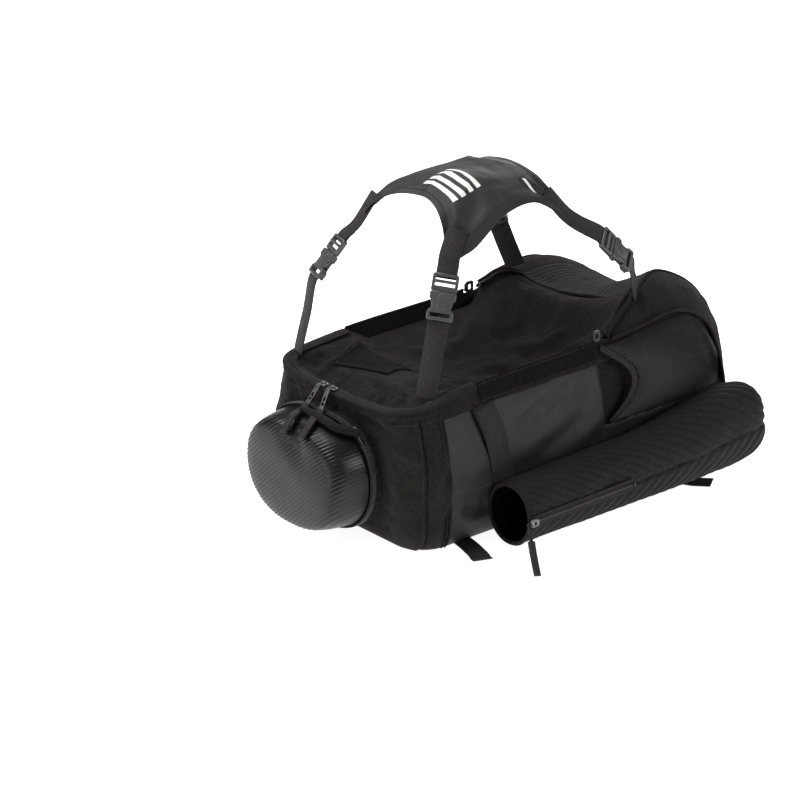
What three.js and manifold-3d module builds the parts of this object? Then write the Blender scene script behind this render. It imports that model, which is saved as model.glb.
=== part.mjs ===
import * as THREE from 'three';
import Module from 'manifold-3d';
import { mergeVertices } from 'three/addons/utils/BufferGeometryUtils.js';

// A backpack for baseball bats, lying on its back, in millimetres with +Z up.
// The origin is the middle of the resting face. +X runs to the pack's bottom end and -Y is the near side.

// Cloth and clearances
const seamGap = 0.4;
const clothWall = 1.8;
const coatedWall = 2;
const padWall = 3;
const netWall = 1;
const tapeWall = 1.4;

// Body
const topEnd = 265;
const topEndAtFloor = 247;
const bottomEnd = 276;
const bottomEndAtFloor = 251;
const bellyHalf = 140;
const floorHalf = 125;
const rimHalf = 116;
const archHalf = 130;
const bellyHeight = 90;
const rimHeight = 192;
const humpHeight = 242;
const humpHalf = 82;
const backLift = 6;
const wallFoot = 3.4;
const topCorner = 40;
const sideSeam = 214;
const sagDepth = 48;
const endSag = 8;
const farSettle = 36;

// Hard case on the top end
const caseHalfWidth = 91;
const caseHalfHeight = 68;
const caseCentreY = 12;
const caseCentreZ = 79;
const caseDepth = 72;
const caseBaseDepth = 9;
const caseZipDepth = 8;
const caseWall = 2.5;

// Bat sleeves
const sleeveMouth = 152;
const sleeveEnd = 247;
const sleeveHalfWidth = 38;
const sleeveHalfHeight = 50;
const sleeveLift = 6;
const sleeveZipLength = 165;
const sleeveZipWidth = 12;
const sleevePullLength = 68;
const sleevePullWidth = 11;

// Headgear space and its flap
const domeHalfLength = 142;
const domeHalfWidth = 114;
const domeHalfHeight = 125;
const domeCentreX = -50;
const domeCentreZ = 279;

// Webbing and buckles
const webbingWidth = 25;
const sideWebWidth = 31;
const webbingWall = 1.6;
const buckleWidth = 33;
const buckleThick = 9;
const socketLength = 34;
const plugLength = 21;
const buckleBar = 4;
const buckleSlot = 5;
const prongReach = 22;
const prongWidth = 5;

// Zips, bands and small parts
const zipWidth = 15;
const bandHeight = 22;
const bandWall = 2.4;
const ringWidth = 12;
const sliderLength = 12;
const sliderWidth = 9;
const sliderThick = 5;
const pullLength = 42;
const pullWidth = 8;
const pullThick = 2.4;
const bindingWidth = 9;
const bindingWall = 2.4;
const netSlack = 22;

// Back
const padThick = backLift - seamGap;
const padHalfWidth = 48;
const padGap = 14;
const strapPadWidth = 56;
const strapPadThick = 5;

const V = THREE.Vector3;
const near = -1;
const far = 1;
const sides = [['near', near], ['far', far]];

// Materials, one for each finish
const finishes = {
  cloth: { color: 0x141414, roughness: 0.92, metalness: 0 },
  coated: { color: 0x232426, roughness: 0.5, metalness: 0 },
  net: { color: 0x0e0e0e, roughness: 0.9, metalness: 0 },
  ribbed: { color: 0x17181a, roughness: 0.85, metalness: 0 },
  sleeve: { color: 0x121212, roughness: 0.8, metalness: 0 },
  flap: { color: 0x2a2b2d, roughness: 0.6, metalness: 0 },
  webbing: { color: 0x161616, roughness: 0.85, metalness: 0 },
  zip: { color: 0x0d0d0d, roughness: 0.6, metalness: 0 },
  hardware: { color: 0x1d1d1e, roughness: 0.35, metalness: 0 },
  metal: { color: 0x2c2c2e, roughness: 0.3, metalness: 0.8 },
  moulded: { color: 0x1a1a1b, roughness: 0.32, metalness: 0 },
};
const pack = new THREE.Group();

function addPiece(name, finish, geometry) {
  const mesh = new THREE.Mesh(geometry, new THREE.MeshStandardMaterial(finishes[finish]));
  mesh.name = name;
  pack.add(mesh);
  return mesh;
}

function lerp(from, to, share) {
  return from + (to - from) * share;
}

function ease(share) {
  const t = THREE.MathUtils.clamp(share, 0, 1);
  return t * t * (3 - 2 * t);
}

// One column of a table, read smoothly at a place along it.
function read(table, column, at) {
  const last = table.length - 1;
  const place = THREE.MathUtils.clamp(at, table[0].at, table[last].at);
  let i = 0;
  while (i < last - 1 && place > table[i + 1].at) {
    i += 1;
  }
  const slope = (k) => {
    const low = table[Math.max(k - 1, 0)];
    const high = table[Math.min(k + 1, last)];
    return (high[column] - low[column]) / (high.at - low.at);
  };
  const span = table[i + 1].at - table[i].at;
  const t = (place - table[i].at) / span;
  const square = t * t;
  const cube = square * t;
  const start = (2 * cube - 3 * square + 1) * table[i][column] + (cube - 2 * square + t) * span * slope(i);
  const end = (3 * square - 2 * cube) * table[i + 1][column] + (cube - square) * span * slope(i + 1);
  return start + end;
}

// A closed solid from rows of points; a row of one point closes an end.
function solidOfRows(rows, wrapRows) {
  const points = [];
  const starts = rows.map((row) => {
    const start = points.length / 3;
    row.forEach((p) => points.push(p.x, p.y, p.z));
    return start;
  });
  const faces = [];
  const last = wrapRows ? rows.length : rows.length - 1;
  for (let r = 0; r < last; r += 1) {
    const s = (r + 1) % rows.length;
    const count = Math.max(rows[r].length, rows[s].length);
    for (let i = 0; i < count; i += 1) {
      const j = (i + 1) % count;
      const a = starts[r] + (rows[r].length > 1 ? i : 0);
      const b = starts[r] + (rows[r].length > 1 ? j : 0);
      const c = starts[s] + (rows[s].length > 1 ? j : 0);
      const d = starts[s] + (rows[s].length > 1 ? i : 0);
      if (a !== b) {
        faces.push(a, b, c);
      }
      if (c !== d) {
        faces.push(a, c, d);
      }
    }
  }
  return facedOut(points, faces);
}

// A geometry whose faces point out, whichever way its rows ran.
function facedOut(points, faces) {
  let volume = 0;
  const at = (i) => new V(points[3 * i], points[3 * i + 1], points[3 * i + 2]);
  for (let i = 0; i < faces.length; i += 3) {
    volume += at(faces[i]).dot(at(faces[i + 1]).cross(at(faces[i + 2])));
  }
  if (volume < 0) {
    faces.reverse();
  }
  const geometry = new THREE.BufferGeometry();
  geometry.setAttribute('position', new THREE.Float32BufferAttribute(points, 3));
  geometry.setIndex(faces);
  geometry.computeVertexNormals();
  return geometry;
}

// The direction square to a surface at one place on it, found over a short step of its u and v.
const shortStep = 0.002;
function normalOf(surface, u, v) {
  const u0 = Math.max(u - shortStep, 0);
  const u1 = Math.min(u + shortStep, 1);
  const v0 = Math.max(v - shortStep, 0);
  const v1 = Math.min(v + shortStep, 1);
  const along = surface(u1, v).sub(surface(u0, v));
  const across = surface(u, v1).sub(surface(u, v0));
  return along.cross(across).normalize();
}

// Cloth of even thickness over a surface, its middle on the surface.
function sheet(surface, columns, rows, wall) {
  const loops = [];
  for (let r = 0; r <= rows; r += 1) {
    const v = r / rows;
    const front = [];
    const back = [];
    for (let c = 0; c <= columns; c += 1) {
      const u = c / columns;
      const middle = surface(u, v);
      const out = normalOf(surface, u, v).multiplyScalar(wall / 2);
      front.push(middle.clone().add(out));
      back.unshift(middle.clone().sub(out));
    }
    loops.push([...front, ...back]);
  }
  return capped(loops);
}

// Loops of points joined one to the next, with flat-grid ends across each loop's two halves.
function capped(loops) {
  const size = loops[0].length;
  const half = size / 2;
  const points = [];
  loops.forEach((loop) => loop.forEach((p) => points.push(p.x, p.y, p.z)));
  const faces = [];
  for (let r = 0; r < loops.length - 1; r += 1) {
    for (let i = 0; i < size; i += 1) {
      const a = r * size + i;
      const b = r * size + ((i + 1) % size);
      faces.push(a, b, b + size, a, b + size, a + size);
    }
  }
  const top = (loops.length - 1) * size;
  for (let i = 0; i < half - 1; i += 1) {
    const j = size - 1 - i;
    faces.push(i, j, j - 1, i, j - 1, i + 1);
    faces.push(top + i, top + j - 1, top + j, top + i, top + i + 1, top + j - 1);
  }
  return facedOut(points, faces);
}

// A band closed on itself, of even thickness over a surface whose u runs round.
function ringSheet(surface, columns, rows, wall) {
  const loops = [];
  const place = (c, v, side) => {
    const u = c / columns;
    const along = surface(u + shortStep, v).sub(surface(u - shortStep, v));
    const across = surface(u, Math.min(v + shortStep, 1)).sub(surface(u, Math.max(v - shortStep, 0)));
    return surface(u, v).addScaledVector(along.cross(across).normalize(), side * wall / 2);
  };
  for (let r = 0; r <= rows; r += 1) {
    loops.push(Array.from({ length: columns }, (_, c) => place(c, r / rows, 1)));
  }
  for (let r = rows; r >= 0; r -= 1) {
    loops.push(Array.from({ length: columns }, (_, c) => place(c, r / rows, -1)));
  }
  return solidOfRows(loops, true);
}

// A hollow form with one open mouth: v runs from its closed end, at 0, to the mouth, at 1.
function hollowForm(surface, columns, stations, wall) {
  const outer = [[surface(0, 0, 0)]];
  const inner = [[surface(0, 0, wall)]];
  stations.forEach((v) => {
    outer.push(Array.from({ length: columns }, (_, c) => surface(c / columns, v, 0)));
    inner.push(Array.from({ length: columns }, (_, c) => surface(c / columns, v, wall)));
  });
  return solidOfRows([...outer, ...inner.reverse()], false);
}

// Webbing or tape along a smooth line, its width along a given direction.
function ribbon(points, across, width, wall, steps) {
  const line = new THREE.CatmullRomCurve3(points, false, 'centripetal');
  const surface = (u, v) => line.getPoint(u).addScaledVector(across, (v - 0.5) * width);
  return sheet(surface, steps, 1, wall);
}

// Height of the rim along the pack: at is a share of topEnd, z a share of rimHeight.
const rimLine = [
  { at: -1, z: 0.917 },
  { at: -0.58, z: 0.974 },
  { at: 0.22, z: 1 },
  { at: 0.37, z: 1.047 },
  { at: 0.63, z: 1.068 },
];

function rimZ(x) {
  return rimHeight * read(rimLine, 'z', x / topEnd);
}

// The rim at one place round the top end, where it sags between the corners.
const cornerSag = 0.35;
function rimAround(x, y) {
  const onEnd = ease((topCorner - topEnd - x) / topCorner + cornerSag);
  return rimZ(x) - endSag * onEnd * Math.max(1 - (y / rimHalf) ** 2, 0);
}

// The piping arc of the side panel: x is a share of bottomEnd, z of rimHeight.
const pipingArc = [
  { at: 0, x: 0.217, z: 0.998 },
  { at: 0.18, x: 0.36, z: 1.047 },
  { at: 0.42, x: 0.605, z: 1.068 },
  { at: 0.64, x: 0.804, z: 0.885 },
  { at: 0.82, x: 0.895, z: 0.484 },
  { at: 1, x: 0.909, z: 0.03 },
];

// The crest between gusset and hump: x is a share of bottomEnd, half of humpHalf, z of humpHeight.
// dip is the share of dipDepth by which the middle of the hump lies inside the crest.
const crestLine = [
  { at: 0, x: 0.232, half: 1.366, z: 0.822, dip: 0.6 },
  { at: 0.18, x: 0.406, half: 1.268, z: 0.957, dip: 0.8 },
  { at: 0.42, x: 0.623, half: 1, z: 1, dip: 1 },
  { at: 0.64, x: 0.9, half: 0.99, z: 0.806, dip: 0.5 },
  { at: 0.82, x: 0.996, half: 1.02, z: 0.46, dip: 0 },
  { at: 1, x: 0.916, half: 1.1, z: 0.03, dip: 0 },
];
const crestStart = 0.18;
const gussetStart = 0.012;
const dipDepth = 22;

// Shares of topEnd between which the rim widens under the arch and the walls draw in at the bottom end.
const archFrom = 0.15;
const archTo = 0.38;
const drawFrom = 0.64;
const drawTo = 0.94;
const drawShare = 0.064;
const footPower = 8;
const shoulderPower = 1.6;

// How far a wall has swung out from its foot to the belly, from 0 to 1, at a height.
function footSwing(z) {
  return 1 - (1 - THREE.MathUtils.clamp(z / bellyHeight, 0, 1)) ** footPower;
}

function easeBetween(value, from, to) {
  return ease((value - from) / (to - from));
}

// Half the body's width at a place along it and a height.
function halfWidth(x, z) {
  const along = x / topEnd;
  const topHalf = lerp(rimHalf, archHalf, easeBetween(along, archFrom, archTo));
  const high = THREE.MathUtils.clamp((z - bellyHeight) / (rimHeight - bellyHeight), 0, 1.1);
  const foot = lerp(floorHalf, bellyHalf, footSwing(z));
  const side = z < bellyHeight ? foot : lerp(bellyHalf, topHalf, high ** shoulderPower);
  return side - drawShare * bellyHalf * easeBetween(along, drawFrom, drawTo);
}

function pipingPoint(s) {
  const x = bottomEnd * read(pipingArc, 'x', s);
  const z = rimHeight * read(pipingArc, 'z', s);
  return new V(x, halfWidth(x, z), z);
}

// The far side's crest settles by farSettle, from its start up to settleFull and from the belly upwards.
const settleFull = 0.25;
const settleRise = 1.6;
function crestPoint(s, side) {
  const x = bottomEnd * read(crestLine, 'x', s);
  const z = humpHeight * read(crestLine, 'z', s);
  const raised = ease(settleRise * (z - bellyHeight) / humpHeight);
  const settle = side > 0 ? farSettle * ease(s / settleFull) * raised : 0;
  return new V(x, humpHalf * read(crestLine, 'half', s), z - settle);
}

// The body's outline in plan round its top end, at one height; u runs from the near to the far side.
function endOutline(u, z, from) {
  const half = halfWidth(-from, z);
  const face = lerp(topEndAtFloor, topEnd, footSwing(z));
  const straight = face - topCorner - from;
  const turn = topCorner * Math.PI / 2;
  const across = 2 * (half - topCorner);
  const whole = 2 * (straight + turn) + across;
  const nearFirst = Math.min(u, 1 - u) * whole;
  const side = u < 0.5 ? near : far;
  if (nearFirst < straight) {
    return new V(-from - nearFirst, side * half, z);
  }
  if (nearFirst < straight + turn) {
    const angle = (nearFirst - straight) / topCorner;
    const x = -(face - topCorner) - topCorner * Math.sin(angle);
    return new V(x, side * (half - topCorner + topCorner * Math.cos(angle)), z);
  }
  const rest = half - topCorner - (nearFirst - straight - turn);
  return new V(-face, side * rest, z);
}

// Shell panels
addPiece('top_end_panel', 'cloth', sheet((u, v) => {
  const flat = endOutline(u, bellyHeight, sideSeam + seamGap);
  return endOutline(u, lerp(wallFoot, rimAround(flat.x, flat.y) - seamGap, v), sideSeam + seamGap);
}, 26, 5, clothWall));

const rimShare = 0.62;
const sideEnd = 0.82;
function sideTop(u) {
  if (u < rimShare) {
    const x = lerp(-sideSeam, pipingPoint(0).x, u / rimShare);
    return { x, z: rimZ(x) };
  }
  const point = pipingPoint(sideEnd * (u - rimShare) / (1 - rimShare));
  return { x: point.x, z: point.z };
}

function sidePlace(u, v) {
  const top = sideTop(u);
  const footX = lerp(-sideSeam, pipingPoint(1).x, u);
  const x = lerp(footX, top.x, v) - 2 * seamGap * u;
  const z = lerp(wallFoot, top.z - seamGap, v);
  return { x, z };
}

// The gusset keeps gussetEdge clear of its two seams, and bulges out between them.
const gussetEdge = 4.6 * seamGap;
const gussetBulge = 7;
const bulgeFull = 0.33;
const bulgeOut = new V(0.6, 0.5, 0.6);
function gussetPoint(u, v, side) {
  const along = lerp(gussetStart, 1, u);
  const outer = pipingPoint(along);
  const inner = crestPoint(along, side);
  const edge = gussetEdge / outer.distanceTo(inner);
  const share = lerp(edge, 1 - edge, v);
  const rise = gussetBulge * Math.sin(Math.PI * share) * ease(u / bulgeFull);
  const bulge = bulgeOut.clone().multiplyScalar(rise);
  return outer.lerp(inner, share).add(bulge);
}

sides.forEach(([name, side]) => {
  addPiece(`side_panel_${name}`, 'coated', sheet((u, v) => {
    const place = sidePlace(u, v);
    return new V(place.x, side * halfWidth(place.x, place.z), place.z);
  }, 18, 4, coatedWall));
  addPiece(`gusset_${name}`, 'cloth', sheet((u, v) => {
    const point = gussetPoint(u, v, side);
    return new V(point.x, side * point.y, point.z);
  }, 16, 2, clothWall));
});

const humpTurnStart = 0.42;
const humpTurnEnd = 0.82;
function humpPoint(u, v) {
  const s = lerp(crestStart + 0.01, 1, u);
  const reach = 2 * v - 1;
  const crest = crestPoint(s, near).lerp(crestPoint(s, far), v);
  const turn = ease((s - humpTurnStart) / (humpTurnEnd - humpTurnStart)) * Math.PI / 2;
  const dip = dipDepth * read(crestLine, 'dip', s) * (1 - reach * reach);
  const half = crest.y - 2 * seamGap;
  return new V(crest.x - dip * Math.sin(turn), reach * half, crest.z - dip * Math.cos(turn));
}
addPiece('front_panel_lower', 'ribbed', sheet(humpPoint, 14, 10, padWall));

// The upper front panel: at is a share of topEnd, drop the share of sagDepth its middle lies below the rim.
const sagLine = [
  { at: -1, drop: 0.52 },
  { at: -0.81, drop: 0.34 },
  { at: -0.64, drop: 0.42 },
  { at: -0.45, drop: 0.83 },
  { at: -0.19, drop: 1 },
  { at: 0.075, drop: 0.87 },
  { at: 0.26, drop: 0.29 },
  { at: 0.42, drop: -0.44 },
];
const slitStart = 0.585;
const slitEnd = 0.219;
const slitGap = 8;
const slitDrop = 12;
const slitEase = 0.1;
const sagPower = 2.4;

// The panel starts inside the rim and ends at the hump, whose height it takes on over joinReach.
const rimClear = 3;
const joinReach = 45;
const panelStart = topEnd - rimClear;
const panelEnd = crestPoint(crestStart, near).x - rimClear * seamGap;

const edgeLead = 0.25;
function panelEdge(x, side) {
  const first = crestPoint(0, side).x;
  const crestShare = (x - first) / (crestPoint(crestStart, side).x - first);
  const opened = ease((x / topEnd + slitStart) / slitEase);
  const slit = opened * (1 - ease((x / topEnd - slitEnd + slitEase) / slitEase));
  const corner = topEnd - topCorner + x;
  const rounding = corner < 0 ? topCorner - Math.sqrt(Math.max(topCorner ** 2 - corner ** 2, 0)) : 0;
  const crest = crestPoint(crestStart * THREE.MathUtils.clamp(crestShare, 0, 1), side);
  const onCrest = ease(1 + crestShare / edgeLead);
  const half = lerp(rimHalf, crest.y, onCrest);
  const rim = lerp(rimZ(x), crest.z, onCrest);
  return { half: half - rounding - rimClear - slit * slitGap, z: rim - 4 * seamGap - slit * slitDrop };
}

function upperPanelZ(x, y) {
  const edge = panelEdge(x, Math.sign(y));
  const settle = 0.5 * farSettle * easeBetween(x / topEnd, archFrom, archTo);
  const middle = rimHeight - sagDepth * read(sagLine, 'drop', x / topEnd) - settle;
  const reach = THREE.MathUtils.clamp(Math.abs(y) / edge.half, 0, 1);
  const loose = lerp(middle, edge.z, reach ** sagPower) + rimAround(x, y) - rimZ(x);
  const across = THREE.MathUtils.clamp((y / edge.half + 1) / 2, 0, 1);
  return lerp(loose, humpPoint(0, across).z, ease(1 - (panelEnd - x) / joinReach));
}

// Its columns stand closer together at the top end.
const columnPower = 1.3;
addPiece('front_panel_upper', 'cloth', sheet((u, v) => {
  const x = lerp(-panelStart, panelEnd, u ** columnPower);
  const y = (2 * v - 1) * panelEdge(x, near).half;
  return new V(x, y, upperPanelZ(x, y));
}, 16, 11, clothWall));

const patchLength = 70;
const patchWidth = 72;
const patchFromEnd = 86;
const patchOffset = 40;
const patchTurn = 0.42;
const patchRise = (clothWall + tapeWall) / 2 + 1;
addPiece('loop_patch', 'webbing', sheet((u, v) => {
  const flat = new THREE.Vector2((u - 0.5) * patchLength, (v - 0.5) * patchWidth);
  flat.rotateAround(new THREE.Vector2(), patchTurn);
  const x = -topEnd + patchFromEnd + flat.x;
  const y = patchOffset + flat.y;
  return new V(x, y, upperPanelZ(x, y) + patchRise);
}, 7, 7, tapeWall));

// Rim zip, and the grip bands that stand up beside the slits
const zipEnd = 158;
function rimPoint(u, inward, rise) {
  const spot = endOutline(u, bellyHeight, zipEnd);
  const z = rimAround(spot.x, spot.y);
  const edge = endOutline(u, z, zipEnd);
  const before = endOutline(Math.max(u - shortStep, 0), z, zipEnd);
  const step = endOutline(Math.min(u + shortStep, 1), z, zipEnd).sub(before);
  const inside = new V(step.y, -step.x, 0).normalize();
  return edge.addScaledVector(inside, inward).add(new V(0, 0, z - edge.z + rise));
}
const zipRise = tapeWall / 2 + 2 * seamGap;
const zipOverhang = 4;
addPiece('main_zip', 'zip', sheet((u, v) => {
  return rimPoint(u, lerp(-zipOverhang, zipWidth - zipOverhang, v), zipRise);
}, 36, 1, tapeWall));

const bandStart = 155;
const bandEnd = 35;
const bandProud = 4;
const bandLift = 1.4;
sides.forEach(([name, side]) => {
  addPiece(`grip_band_${name}`, 'webbing', sheet((u, v) => {
    const x = lerp(-bandStart, bandEnd, u);
    const z = rimZ(x) + bandProud - bandHeight * v;
    return new V(x, side * (halfWidth(x, z) + (coatedWall + bandWall) / 2 + bandLift), z);
  }, 12, 2, bandWall));
});

// Plates and small hard parts
function roundedOutline(length, width, radius) {
  const shape = new THREE.Shape();
  const x = length / 2;
  const y = width / 2;
  shape.moveTo(-x + radius, -y);
  shape.lineTo(x - radius, -y);
  shape.absarc(x - radius, -y + radius, radius, -Math.PI / 2, 0);
  shape.lineTo(x, y - radius);
  shape.absarc(x - radius, y - radius, radius, 0, Math.PI / 2);
  shape.lineTo(-x + radius, y);
  shape.absarc(-x + radius, y - radius, radius, Math.PI / 2, Math.PI);
  shape.lineTo(-x, -y + radius);
  shape.absarc(-x + radius, -y + radius, radius, Math.PI, 1.5 * Math.PI);
  return shape;
}

function slotPath(centreX, length, width) {
  const path = new THREE.Path();
  path.moveTo(centreX - length / 2, -width / 2);
  path.lineTo(centreX - length / 2, width / 2);
  path.lineTo(centreX + length / 2, width / 2);
  path.lineTo(centreX + length / 2, -width / 2);
  path.closePath();
  return path;
}

function plate(shape, thick, arcSteps = 3) {
  const options = { depth: thick, bevelEnabled: false, curveSegments: arcSteps };
  const geometry = new THREE.ExtrudeGeometry(shape, options);
  return geometry.translate(0, 0, -thick / 2);
}

// Places a geometry with its own x along a direction and its own z along a normal.
function placed(geometry, centre, along, normal) {
  const y = normal.clone().cross(along).normalize();
  const z = along.clone().cross(y).normalize();
  const turn = new THREE.Matrix4().makeBasis(along.clone().normalize(), y, z).setPosition(centre);
  return geometry.clone().applyMatrix4(turn);
}

const wasm = await Module();
wasm.setup();

function toSolid(geometry) {
  const bare = geometry.clone();
  bare.deleteAttribute('normal');
  bare.deleteAttribute('uv');
  const merged = mergeVertices(bare);
  return new wasm.Manifold(new wasm.Mesh({
    numProp: 3,
    vertProperties: new Float32Array(merged.attributes.position.array),
    triVerts: new Uint32Array(merged.index.array),
  }));
}

function toGeometry(solid) {
  const mesh = solid.getMesh();
  const geometry = new THREE.BufferGeometry();
  geometry.setAttribute('position', new THREE.Float32BufferAttribute(mesh.vertProperties, 3));
  geometry.setIndex(Array.from(mesh.triVerts));
  geometry.computeVertexNormals();
  return geometry;
}

// Hard case on the top end
const caseZipRise = 1.2;
const caseSquareness = 2.5;
const caseTaper = 0.1;
function caseOutline(u, grow) {
  const angle = 2 * Math.PI * u;
  const power = 2 / caseSquareness;
  const c = Math.cos(angle);
  const s = Math.sin(angle);
  const taper = 1 - caseTaper * Math.max(-s, 0);
  const y = Math.sign(c) * Math.abs(c) ** power * (caseHalfWidth + grow) * taper;
  const z = Math.sign(s) * Math.abs(s) ** power * (caseHalfHeight + grow);
  return { y, z };
}

function caseRing(u, v, from, depth, grow) {
  const spot = caseOutline(u, grow);
  return new V(-(topEnd + from + depth * v), caseCentreY + spot.y, caseCentreZ + spot.z);
}
const caseFoot = clothWall / 2 + seamGap;
const caseZipFrom = caseFoot + caseBaseDepth + seamGap;
const caseShellFrom = caseZipFrom + caseZipDepth + seamGap;
addPiece('case_base', 'cloth', ringSheet((u, v) => {
  return caseRing(u, v, caseFoot, caseBaseDepth, 0);
}, 32, 1, caseWall));
addPiece('case_zip', 'zip', ringSheet((u, v) => {
  return caseRing(u, v, caseZipFrom, caseZipDepth, caseZipRise);
}, 32, 1, caseWall));

// The case's dome: at runs from its crown to its mouth.
// Spread is a share of its half size, and depth of its depth.
const caseDome = [
  { at: 0, spread: 0, depth: 1 },
  { at: 0.3, spread: 0.4, depth: 0.99 },
  { at: 0.55, spread: 0.74, depth: 0.93 },
  { at: 0.7, spread: 0.885, depth: 0.8 },
  { at: 0.8, spread: 0.945, depth: 0.56 },
  { at: 1, spread: 1, depth: 0 },
];
const domeStations = [0.3, 0.5, 0.62, 0.7, 0.78, 0.88, 1];
function casePoint(u, v, inset) {
  const spread = read(caseDome, 'spread', v);
  const depth = read(caseDome, 'depth', v);
  const spot = caseOutline(u, 0);
  const shrink = spread * (1 - inset / caseHalfHeight);
  const reach = depth * (caseDepth - caseShellFrom - inset);
  const x = -(topEnd + caseShellFrom + reach);
  return new V(x, caseCentreY + shrink * spot.y, caseCentreZ + shrink * spot.z);
}
addPiece('case_shell', 'moulded', hollowForm(casePoint, 28, domeStations, caseWall));

// Bat sleeves: at runs from the mouth to the closed end, wide and tall are shares of the half sizes.
const sleeveLine = [
  { at: 0, wide: 0.9, tall: 0.73, lift: 0 },
  { at: 0.48, wide: 0.93, tall: 0.79, lift: 0.02 },
  { at: 0.72, wide: 1, tall: 0.92, lift: 0.06 },
  { at: 0.85, wide: 1, tall: 0.99, lift: 0.1 },
  { at: 1, wide: 1, tall: 1, lift: 0.12 },
];
const sleeveCap = [
  { at: 0, spread: 0, reach: 0 },
  { at: 0.25, spread: 0.52, reach: 0.04 },
  { at: 0.5, spread: 0.79, reach: 0.18 },
  { at: 0.75, spread: 0.94, reach: 0.48 },
  { at: 1, spread: 1, reach: 1 },
];
const capShare = 0.3;
const capLength = 42;
const sleeveSquareness = 2.1;
const sleeveStations = [0.06, 0.12, 0.19, 0.3, 0.44, 0.58, 0.72, 0.86, 1];

function sleeveSection(x, angle, inset, spread) {
  const share = (x + sleeveMouth) / (sleeveEnd + sleeveMouth);
  const wide = sleeveHalfWidth * read(sleeveLine, 'wide', share);
  const tall = sleeveHalfHeight * read(sleeveLine, 'tall', share);
  const c = Math.cos(angle);
  const s = Math.sin(angle);
  const power = 2 / sleeveSquareness;
  const middleY = bellyHalf + coatedWall / 2 + seamGap + wide;
  const y = middleY + spread * (wide - inset) * Math.sign(c) * Math.abs(c) ** power;
  const lift = sleeveLift + sleeveHalfHeight * read(sleeveLine, 'lift', share);
  const z = lift + tall + spread * (tall - inset) * Math.sign(s) * Math.abs(s) ** power;
  return new V(x, y, z);
}

function sleevePoint(u, v, inset) {
  const cap = THREE.MathUtils.clamp(v / capShare, 0, 1);
  const spread = v < capShare ? read(sleeveCap, 'spread', cap) : 1;
  const reach = v < capShare ? capLength * read(sleeveCap, 'reach', cap) : 0;
  const straight = (sleeveEnd + sleeveMouth - capLength) * (v - capShare) / (1 - capShare);
  const x = v < capShare ? sleeveEnd - reach : sleeveEnd - capLength - straight;
  return sleeveSection(x - inset * (1 - cap), 2 * Math.PI * u, inset, spread);
}
const sleeveZipAngle = 0.02;

// The pull hangs from the mouth and leans out along pullOut until its end meets the floor.
const pullGap = 3;
const pullSag = 0.06;
const pullOut = new V(-0.52, 0.85, 0);
sides.forEach(([name, side]) => {
  const mirrored = (point) => new V(point.x, side * point.y, point.z);
  addPiece(`sleeve_${name}`, 'sleeve', hollowForm((u, v, inset) => {
    return mirrored(sleevePoint(u, v, inset));
  }, 16, sleeveStations, padWall));
  addPiece(`sleeve_zip_${name}`, 'zip', sheet((u, v) => {
    const x = lerp(-sleeveMouth, -sleeveMouth + sleeveZipLength, u);
    const angle = sleeveZipAngle + (v - 0.5) * sleeveZipWidth / sleeveHalfWidth;
    return mirrored(sleeveSection(x, angle, -(tapeWall / 2 + 2 * seamGap), 1));
  }, 8, 2, tapeWall));
  const outer = sleeveSection(-sleeveMouth, sleeveZipAngle, 0, 1);
  const root = new V(-sleeveMouth - pullGap, outer.y + tapeWall + seamGap, outer.z);
  const drop = outer.z - pullThick;
  const reach = Math.sqrt(sleevePullLength ** 2 - drop ** 2);
  const tip = root.clone().addScaledVector(pullOut, reach).setZ(root.z - drop);
  const bend = root.clone().lerp(tip, 0.5).add(new V(0, 0, -pullSag * sleevePullLength));
  const across = new V(pullOut.y, -pullOut.x * side, 0);
  addPiece(`sleeve_pull_${name}`, 'zip', ribbon(
    [root, bend, tip].map(mirrored), across, sleevePullWidth, pullThick, 8));
});

// Side webbing and net pockets
const sideWebX = 0.5;
const sideWebSlant = 0.085;
const sideWebFoot = 0.46;
const sideWebTop = 0.86;
const netStart = 0.175;
const netEnd = 0.885;
const netFoot = 0.5;
const netClear = 0.03;
const mouthBow = 36;
const onWall = (coatedWall + webbingWall) / 2 + seamGap;

// The net follows the piping arc at its top: netBend and netFall are where that turns down and how fast.
const netBend = 0.6;
const netFall = 5.4;
const mouthSwell = 0.3;
const middleSwell = 0.8;
const swellPower = 0.8;
function netPoint(u, v) {
  const bow = mouthBow * Math.sin(Math.PI * v) * (1 - u);
  const x = lerp(topEnd * netStart, topEnd * netEnd, u) + bow;
  const fall = netFall * Math.max(x / bottomEnd - netBend, 0) ** 2;
  const z = lerp(netFoot * rimHeight, rimZ(x) - (netClear + fall) * rimHeight, v);
  const along = mouthSwell * (1 - u) + middleSwell * Math.sin(Math.PI * u) ** swellPower;
  const swell = netSlack * along * Math.sin(Math.PI * v) ** swellPower;
  return new V(x, halfWidth(x, z) + (coatedWall + netWall) / 2 + 2 * seamGap + swell, z);
}
sides.forEach(([name, side]) => {
  const mirrored = (point) => new V(point.x, side * point.y, point.z);
  addPiece(`side_webbing_${name}`, 'webbing', sheet((u, v) => {
    const z = rimHeight * lerp(sideWebFoot, sideWebTop, u);
    const x = -topEnd * (sideWebX + sideWebSlant * u) + (v - 0.5) * sideWebWidth;
    return mirrored(new V(x, halfWidth(x, z) + onWall, z));
  }, 6, 1, webbingWall));
  addPiece(`pocket_net_${name}`, 'net', sheet((u, v) => mirrored(netPoint(u, v)), 10, 7, netWall));
  addPiece(`pocket_binding_${name}`, 'webbing', sheet((u, v) => {
    const edge = netPoint(0, u);
    const x = edge.x - 3 * seamGap - bindingWidth * v;
    return mirrored(new V(x, edge.y + (bindingWall - netWall) / 2, edge.z));
  }, 7, 1, bindingWall));
});

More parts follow.
